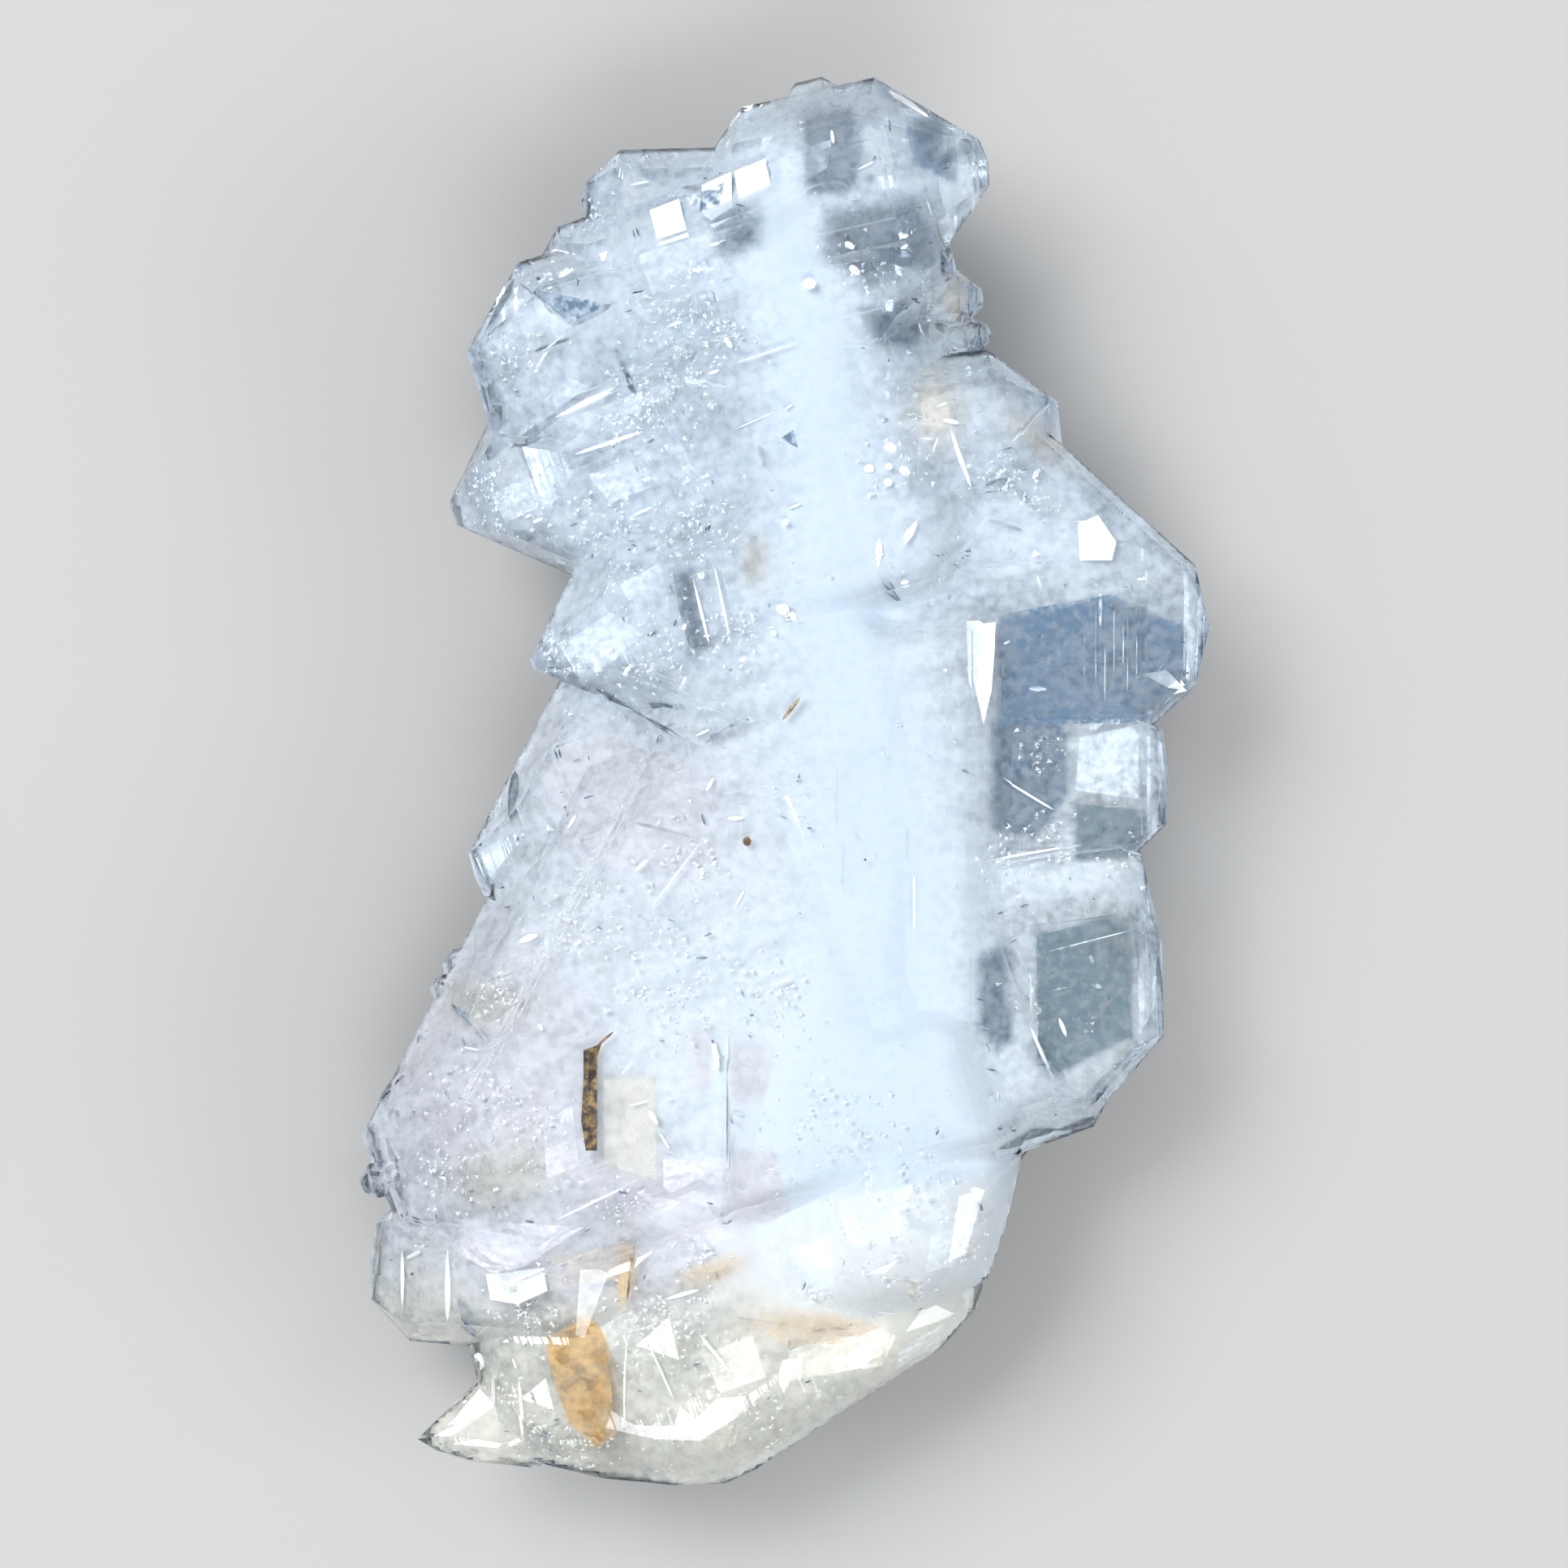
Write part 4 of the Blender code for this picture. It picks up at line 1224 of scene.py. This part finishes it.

# Healed cracks, crystal edges and round spots painted white: painted glints and painted edge highlights.
CRACKS_WITH_PAINTED_GLINT = (
    # top
    Streak(4.6, 30.2, 6.4, 29.0, 0.36),
    Streak(6.1, 25.6, 7.3, 22.4, 0.14),
    Streak(2.1, 28.5, 2.2, 27.9, 0.16),
    # left
    Streak(-9.9, 16.0, -7.4, 17.2, 0.32),
    Streak(-2.2, 18.3, 0.5, 19.2, 0.09),
    Streak(-2.2, 15.4, -0.2, 16.3, 0.09),
    Streak(-11.0, 18.5, -9.6, 19.6, 0.09),
    Streak(-9.0, 14.4, -6.3, 15.3, 0.21),
    # middle
    Streak(4.2, 10.6, 4.1, 9.4, 0.29),
    Streak(5.8, 11.4, 5.3, 10.4, 0.25),
    Streak(-5.8, -5.5, -3.6, -2.6, 0.14),
    Streak(7.3, 15.4, 8.2, 12.9, 0.25),
    Streak(-4.0, 8.7, -3.3, 5.8, 0.18),
    Streak(-3.1, 9.4, -2.4, 6.2, 0.14),
    Streak(0.0, 7.8, 0.1, 7.2, 0.36),
    Streak(0.0, 11.5, 0.1, 11.2, 0.29),
    # right
    Streak(10.8, -8.3, 10.8, -10.7, 0.18),
    Streak(10.8, -10.8, 11.8, -13.1, 0.14),
    Streak(13.2, 6.6, 13.2, 4.6, 0.05),
    Streak(13.7, 7.8, 13.7, 4.4, 0.07),
    Streak(13.9, 8.3, 13.9, 6.9, 0.16),
    Streak(14.1, 5.9, 14.1, 3.6, 0.05),
    Streak(14.5, 7.7, 14.5, 4.9, 0.06),
    Streak(14.9, 6.9, 14.9, 5.2, 0.05),
    Streak(15.1, 7.4, 15.1, 3.9, 0.07),
    Streak(15.5, 6.3, 15.5, 4.4, 0.05),
    Streak(9.6, 0.1, 11.9, -1.3, 0.14),
    Streak(8.9, -3.5, 13.0, -2.8, 0.18),
    Streak(11.2, -7.6, 15.1, -6.6, 0.10),
    Streak(10.0, 14.9, 12.1, 17.2, 0.14),
    # lower left
    Streak(-16.8, -20.8, -16.8, -23.1, 0.25),
    Streak(-14.8, -20.8, -14.8, -23.8, 0.29),
    Streak(-2.5, -10.3, -2.5, -18.5, 0.14),
    Streak(-9.9, -19.2, -7.0, -17.8, 0.14),
    Streak(-11.7, -7.1, -10.8, -6.7, 0.29),
    # round spots: painted glints
    Streak(4.4, 14.7, 4.9, 14.5, 0.45),
    Streak(5.05, 13.7, 5.5, 13.5, 0.42),
    Streak(4.35, 13.1, 4.75, 13.1, 0.38),
    Streak(3.5, 13.7, 3.95, 13.7, 0.42),
    Streak(4.4, 13.85, 4.75, 13.75, 0.3),
    Streak(0.8, 21.8, 1.4, 21.8, 0.5),
    Streak(2.9, 22.6, 3.3, 22.2, 0.35),
    Streak(2.7, 23.6, 3.1, 23.3, 0.28),
    Streak(-2.6, 19.4, -2.3, 19.0, 0.3),
    Streak(-0.3, 7.7, 0.1, 7.3, 0.42),
    Streak(0.25, 7.4, 0.5, 7.1, 0.3),
    Streak(-0.6, 6.6, -0.35, 6.4, 0.25),
    Streak(-2.0, 5.25, -1.65, 5.4, 0.18),
    Streak(5.3, 10.6, 5.5, 11.1, 0.25),
    Streak(-3.8, 9.0, -3.5, 9.0, 0.3),
    Streak(-3.1, -11.4, -2.9, -12.7, 0.28),
    # foot
    Streak(-12.7, -26.0, -12.7, -28.8, 0.18),
    Streak(-11.7, -26.3, -11.5, -29.2, 0.18),
    Streak(-7.0, -24.6, -7.1, -28.5, 0.18),
    Streak(-5.9, -24.9, -4.9, -27.1, 0.14),
    Streak(-3.8, -24.2, -2.4, -26.0, 0.14),
    Streak(-13.5, -25.2, -13.4, -26.0, 0.5),
    Streak(0.6, -25.0, 0.6, -26.3, 0.32),
    Streak(-5.2, -22.8, -3.8, -22.4, 0.18),
)

BROWN_STREAKS = (
    Streak(-6.6, -20.4, -6.9, -22.8, 0.13),
    Streak(-0.05, 2.7, 0.7, 3.7, 0.22),
    Streak(-1.8, -2.7, -1.45, -2.6, 0.42),
    Streak(-8.2, -11.6, -7.5, -11.0, 0.14),
    Streak(3.5, -3.4, 3.6, -3.5, 0.1),
)

# Painted highlights: white sheets just under the front, painted where facets reflect the lamps.
PAINTED_LAMP_REFLECTIONS = {
    "band_first": ((-5.9, 25.0), (-4.6, 25.5), (-4.2, 24.0), (-5.5, 23.6)),
    "band_second": ((-3.6, 26.1), (-2.3, 26.7), (-2.2, 25.0), (-3.1, 24.4), (-3.5, 24.7)),
    "band_third": ((-2.2, 26.7), (-0.8, 27.3), (-0.5, 25.9), (-1.9, 25.2)),
    "right_great": ((12.9, 11.3), (13.8, 11.7), (14.6, 10.5), (14.4, 9.7), (13.0, 9.7)),
    "right_corner": ((15.8, 4.7), (16.8, 4.9), (17.7, 4.0), (16.9, 4.1)),
    "right_strip": ((8.0, 6.8), (9.3, 7.0), (9.1, 4.0), (8.7, 2.5), (8.1, 4.4)),
    "low_left": ((-13.0, -21.6), (-10.6, -21.3), (-10.4, -22.4), (-11.7, -23.0), (-12.9, -22.8)),
    "top_edge": ((4.6, 30.3), (5.5, 30.2), (6.4, 29.0), (5.4, 29.2)),
}

STAIN_OUTLINE = (
    (-10.4, -24.5), (-8.3, -23.8), (-7.9, -24.6), (-7.6, -26.9),
    (-7.5, -28.4), (-8.2, -29.2), (-9.4, -28.3), (-10.2, -26.2),
)
BROWN_CRACK_OUTLINE = (
    (-8.8, -11.8), (-8.0, -11.5), (-8.2, -12.1), (-8.2, -16.2), (-8.7, -16.2), (-8.9, -14.9), (-8.8, -13.1),
)


@dataclass
class Splinters:
    """Thin cracks of one tone inside the crystals, copied from one splinter."""

    name: str
    relief: Relief
    milk: MilkField
    tone: Tone
    streaks: tuple
    under: tuple
    lean: tuple
    seed: int
    strewn: int = 0
    strewn_long: tuple = (0.3, 0.9)
    strewn_wide: tuple = (0.08, 0.2)
    strewn_turns: tuple = (20, 20, 110, 65, -10)
    thickness: float = 0.04
    ragged: float = 0.16
    fine_past: float = 2.5

    def one_splinter(self) -> tuple[np.ndarray, np.ndarray]:
        """Models one splinter: a pointed plate, one unit long, wide and thick.

        Returns:
            Its corners and its three-cornered faces.
        """
        clear_selection()
        bpy.ops.mesh.primitive_circle_add(vertices=8, radius=0.5, fill_type="NGON")
        splinter = bpy.context.object
        bpy.ops.object.mode_set(mode="EDIT")
        bpy.ops.mesh.select_all(action="SELECT")
        bpy.ops.mesh.extrude_region_move(TRANSFORM_OT_translate={"value": (0, 0, 1)})
        bpy.ops.mesh.select_all(action="SELECT")
        bpy.ops.mesh.normals_make_consistent(inside=False)
        bpy.ops.mesh.quads_convert_to_tris()
        bpy.ops.object.mode_set(mode="OBJECT")
        corners = np.array([vertex.co for vertex in splinter.data.vertices])
        faces = np.array([face.vertices for face in splinter.data.polygons])
        bpy.data.objects.remove(splinter)
        return corners, faces

    def strewn_streaks(self, draw: np.random.Generator) -> list[Streak]:
        """Throws fine cracks over the crystals, along and across them, outside the thread.

        Args:
            draw: the source of random numbers.

        Returns:
            The streaks.
        """
        low, high = (np.array(corner) / MM for corner in CAD_BOX)
        found = []
        while len(found) < self.strewn:
            x, y, _ = draw.uniform(low, high)
            turn = math.radians(draw.choice(self.strewn_turns) + draw.normal(0, 6))
            half = 0.5 * draw.uniform(*self.strewn_long)
            width = draw.uniform(*self.strewn_wide)
            across, along = half * math.cos(turn), half * math.sin(turn)
            ends = np.array([(x - across, x + across), (y - along, y + along)])
            if self.relief.covers(*ends) and draw.random() > self.milk.thread(x, y):
                found.append(Streak(x - across, y - along, x + across, y + along, width))
        return found

    def build(self) -> bpy.types.Object:
        """Copies the splinter to each streak.

        Returns:
            All the splinters as one object.
        """
        draw = np.random.default_rng(self.seed)
        corners, faces = self.one_splinter()
        points = []
        for streak in [*self.streaks, *self.strewn_streaks(draw)]:
            run = np.array((streak.x1 - streak.x0, streak.y1 - streak.y0))
            length = np.linalg.norm(run)
            along = run / length
            shape = corners.copy()
            shape[:, :2] *= 1 + draw.uniform(-self.ragged, self.ragged, (len(corners), 2))
            lean = draw.uniform(*self.lean)
            side = shape[:, 1] * streak.width * min(1, self.fine_past / length)
            x = (streak.x0 + streak.x1) / 2 + shape[:, 0] * length * along[0] - side * along[1]
            y = (streak.y0 + streak.y1) / 2 + shape[:, 0] * length * along[1] + side * along[0]
            z = self.relief.at(x, y) - draw.uniform(*self.under) + side * math.tan(math.radians(lean))
            places = np.stack([x, y, z - self.thickness * shape[:, 2]], axis=1)
            points.append(self.relief.body.tucked(places))
        numbers = faces[None] + (np.arange(len(points)) * len(corners))[:, None, None]
        return mesh_object(self.name, np.concatenate(points), numbers.reshape(-1, 3))

    def dress(self, splinters: bpy.types.Object) -> None:
        """Gives the splinters their material and their place in the body.

        Args:
            splinters: what build returned.
        """
        splinters.data.materials.append(HealedCrack(self.tone).make())
        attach(splinters, BODY)


@dataclass
class Sheet:
    """One thin closed sheet over an outline, sunk under the front of the crystals."""

    relief: Relief
    name: str
    outline: tuple
    under: float
    lean: float = 0.0
    toward: tuple = (-0.7, 0.7)
    thickness: float = 0.08
    cuts: int = 0
    wave: float = 0.0
    follows: bool = False

    def build(self) -> bpy.types.Object:
        """Fills the outline, thickens it, and bends it a little.

        Returns:
            The sheet.
        """
        clear_selection()
        bpy.ops.mesh.primitive_circle_add(vertices=len(self.outline), radius=1.0, fill_type="NGON")
        sheet = bpy.context.object
        sheet.name = self.name
        middle = np.mean(self.outline, axis=0)
        top = float(np.min(self.relief.at(*np.array(self.outline).T))) - self.under
        for vertex, (x, y) in zip(sheet.data.vertices, self.outline):
            away = (x - middle[0]) * self.toward[0] + (y - middle[1]) * self.toward[1]
            vertex.co = Vector((x, y, top - away * math.tan(math.radians(self.lean)))) * MM
        bpy.ops.object.mode_set(mode="EDIT")
        bpy.ops.mesh.select_all(action="SELECT")
        if self.cuts:
            bpy.ops.mesh.quads_convert_to_tris()
            bpy.ops.mesh.subdivide(number_cuts=self.cuts)
        bpy.ops.mesh.extrude_region_move(TRANSFORM_OT_translate={"value": (0, 0, self.thickness * MM)})
        bpy.ops.mesh.select_all(action="SELECT")
        bpy.ops.mesh.normals_make_consistent(inside=False)
        bpy.ops.object.mode_set(mode="OBJECT")
        bpy.ops.object.transform_apply(location=True, rotation=True, scale=True)
        for vertex in sheet.data.vertices:
            x, y = vertex.co.x / MM, vertex.co.y / MM
            vertex.co.z += self.wave * MM * math.sin(2.1 * x + 0.7 * y) * math.cos(1.3 * y)
            if self.follows:
                vertex.co.z += (float(self.relief.at(x, y)) - self.thickness - top - self.under) * MM
        places = np.array([vertex.co for vertex in sheet.data.vertices]) / MM
        for vertex, place in zip(sheet.data.vertices, self.relief.body.tucked(places)):
            vertex.co = Vector(place) * MM
        return sheet

    def dress(self, sheet: bpy.types.Object, material: bpy.types.Material) -> None:
        """Gives the sheet its material and its place in the body.

        Args:
            sheet: what build returned.
            material: its finish.
        """
        sheet.data.materials.append(material)
        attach(sheet, BODY)


@dataclass
class Films:
    """The old crystal faces of one hue, as thin sheets that follow the front; in the smoke and slate hues they are
    painted shade.
    """

    relief: Relief
    hue: Hue
    under: float = 0.18
    thickness: float = 0.02
    cuts: int = 3

    def build(self) -> bpy.types.Object:
        """Makes one sheet for each face and joins them.

        Returns:
            All the faces of the hue as one object.
        """
        name = self.hue.name.lower() + "_films"
        sheets = []
        for number, outline in enumerate(FACETS[self.hue]):
            sheet = Sheet(
                self.relief, f"{name}_{number}", outline, self.under,
                thickness=self.thickness, cuts=self.cuts, follows=True,
            )
            sheets.append(sheet.build())
        make_active(sheets[0])
        for sheet in sheets:
            sheet.select_set(True)
        bpy.ops.object.join()
        sheets[0].name = name
        return sheets[0]

    def dress(self, films: bpy.types.Object) -> None:
        """Gives the faces their finish and their place in the body.

        Args:
            films: what build returned.
        """
        films.data.materials.append(FrostedFacet(self.hue, *FACET_SHARES[self.hue]).make())
        films.visible_shadow = False
        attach(films, BODY)


@dataclass
class Studio:
    """The pale table, the soft lamps and the camera that looks straight down."""

    centre: tuple = (-0.01, -0.13)
    view_height: float = 600.0
    view_width: float = 69.0
    sensor: float = 36.0

    def build(self) -> None:
        """Makes everything in the studio."""
        self.build_table()
        self.build_world()
        self.build_camera()
        self.add_lamp("key", (-0.50, 0.42, 0.75), 0.56, 0.48, 11.0)
        self.add_lamp("right", (0.75, -0.22, 0.46), 0.50, 0.34, 3.6)
        self.add_lamp("front", (0.05, -0.55, 0.72), 0.50, 0.34, 4.5)

    def build_table(self) -> None:
        """Makes the floor, just under the lowest faces."""
        clear_selection()
        bpy.ops.mesh.primitive_plane_add(size=3.0, location=(0, 0, -0.01 * MM))
        table = bpy.context.object
        table.name = "table"
        bpy.ops.object.transform_apply(location=True, rotation=True, scale=True)
        table.data.materials.append(Table().make())

    def build_world(self) -> None:
        """Makes the even light of the room, brighter overhead than at the sides."""
        world = bpy.data.worlds.new("studio")
        bpy.context.scene.world = world
        world.use_nodes = True
        tree = world.node_tree
        background = tree.nodes["Background"]
        place = tree.nodes.new("ShaderNodeTexCoord")
        axes = tree.nodes.new("ShaderNodeSeparateXYZ")
        rise = tree.nodes.new("ShaderNodeMapRange")
        rise.inputs["From Min"].default_value = 0.0
        rise.inputs["From Max"].default_value = 0.9
        rise.inputs["To Min"].default_value = 0.40
        rise.inputs["To Max"].default_value = 0.58
        tree.links.new(place.outputs["Generated"], axes.inputs[0])
        tree.links.new(axes.outputs["Z"], rise.inputs["Value"])
        tree.links.new(rise.outputs["Result"], background.inputs["Strength"])
        background.inputs["Color"].default_value = (0.88, 0.94, 1.0, 1.0)

    def build_camera(self) -> None:
        """Makes the camera straight above the middle of the cluster, with its top towards +Y."""
        camera = bpy.data.cameras.new("camera")
        camera.sensor_width = self.sensor
        camera.lens = self.sensor * self.view_height / self.view_width
        camera.clip_start = 0.01
        camera.clip_end = 10.0
        holder = bpy.data.objects.new("camera", camera)
        holder.location = (self.centre[0] * MM, self.centre[1] * MM, (self.view_height + 8.0) * MM)
        bpy.context.scene.collection.objects.link(holder)
        bpy.context.scene.camera = holder

    def add_lamp(self, name: str, place: tuple, wide: float, high: float, power: float) -> None:
        """Adds one soft rectangular lamp that faces the cluster.

        Args:
            name: the lamp's name.
            place: its place in metres.
            wide: its width in metres.
            high: its height in metres.
            power: its power in watts.
        """
        lamp = bpy.data.lights.new(name, "AREA")
        lamp.shape = "RECTANGLE"
        lamp.size = wide
        lamp.size_y = high
        lamp.energy = power
        lamp.color = (0.96, 0.98, 1.0)
        holder = bpy.data.objects.new(name, lamp)
        holder.location = place
        holder.rotation_euler = (-Vector(place)).to_track_quat("-Z", "Y").to_euler()
        bpy.context.scene.collection.objects.link(holder)


def build_cracks(relief: Relief, milk: MilkField) -> None:
    """Builds the healed cracks, the painted lamp reflections, the brown crack and the iron stains.

    Args:
        relief: the front of the crystals.
        milk: the milkiness of the crystals.
    """
    for cracks in (
        Splinters("dark_cracks", relief, milk, Tone.DARK, DARK_STREAKS, (0.6, 1.1), (-30, 30), 21),
        Splinters(
            "dark_specks", relief, milk, Tone.DARK, (), (0.2, 0.8), (-30, 30), 24, 220, (0.12, 0.5), (0.04, 0.12)
        ),
        # painted glints on healed cracks and crystal edges
        Splinters("bright_cracks", relief, milk, Tone.BRIGHT, CRACKS_WITH_PAINTED_GLINT, (0.1, 0.6), (-15, 15), 22, 70),
        Splinters("brown_cracks", relief, milk, Tone.BROWN, BROWN_STREAKS, (0.08, 0.15), (-10, 10), 23),
    ):
        piece = cracks.build()
        cracks.dress(piece)
        LOG.info("%s: %d faces", cracks.name, len(piece.data.polygons))
    # Painted highlights: the lamps' reflections are white sheets in the bright crack finish.
    painted_reflection_finish = HealedCrack(Tone.BRIGHT).make()
    for name, outline in PAINTED_LAMP_REFLECTIONS.items():
        painted_reflection = Sheet(relief, f"mirror_{name}", outline, under=0.15, lean=8)
        painted_reflection.dress(painted_reflection.build(), painted_reflection_finish)
    for hue in FACETS:
        films = Films(relief, hue)
        piece = films.build()
        films.dress(piece)
        LOG.info("%s: %d faces", piece.name, len(piece.data.polygons))
    stains = (
        (Sheet(relief, "iron_stain", STAIN_OUTLINE, 0.2, thickness=0.1, cuts=5, wave=0.04, follows=True),
         Iron("rust", (0.50, 0.37, 0.23, 1.0), (0.50, 0.29, 0.10, 1.0), 0.7, 0.35)),
        (Sheet(relief, "brown_crack", BROWN_CRACK_OUTLINE, 0.1, thickness=0.1, cuts=5, wave=0.05),
         Iron("brown_iron", (0.034, 0.02, 0.012, 1.0), (0.34, 0.22, 0.08, 1.0), 3.0)),
    )
    for stain, finish in stains:
        stain.dress(stain.build(), finish.make())
        LOG.info("%s", stain.name)


def main() -> None:
    """Builds the cluster's pieces in order and reports each."""
    logging.basicConfig(level=logging.INFO, format="%(message)s")
    scene = bpy.context.scene
    scene.view_settings.view_transform = "Standard"
    scene.cycles.transparent_max_bounces = 16
    scene.cycles.max_bounces = 6
    scene.cycles.diffuse_bounces = 2
    scene.cycles.glossy_bounces = 3
    scene.cycles.transmission_bounces = 6
    scene.cycles.caustics_reflective = False
    scene.cycles.caustics_refractive = False
    body = CrystalBody()
    body.build()
    body.dress()
    LOG.info("clear crystals: %d faces", len(body.shell.data.polygons))
    milk = MilkField(body)
    relief = Relief(body, spacing=0.28)
    veils = Veils(milk, relief)
    sheets = veils.build()
    veils.dress(sheets)
    LOG.info("milky veils: %d faces", sum(len(sheet.data.polygons) for sheet in sheets))
    for flecks in (
        Flecks("fine_flecks", milk, 9000, (0.05, 0.20), 3),
        Flecks("coarse_flecks", milk, 1000, (0.15, 0.45), 5),
        # painted glints: near-white flecks
        PaintedGlintFlecks("painted_glint_flecks", milk, 3400, (0.05, 0.30), 6, pale=0.9, relief=relief),
    ):
        piece = flecks.build()
        flecks.dress(piece)
        LOG.info("%s: %d faces", flecks.name, len(piece.data.polygons))
    build_cracks(relief, milk)
    Studio().build()


if __name__ == "__main__":
    main()
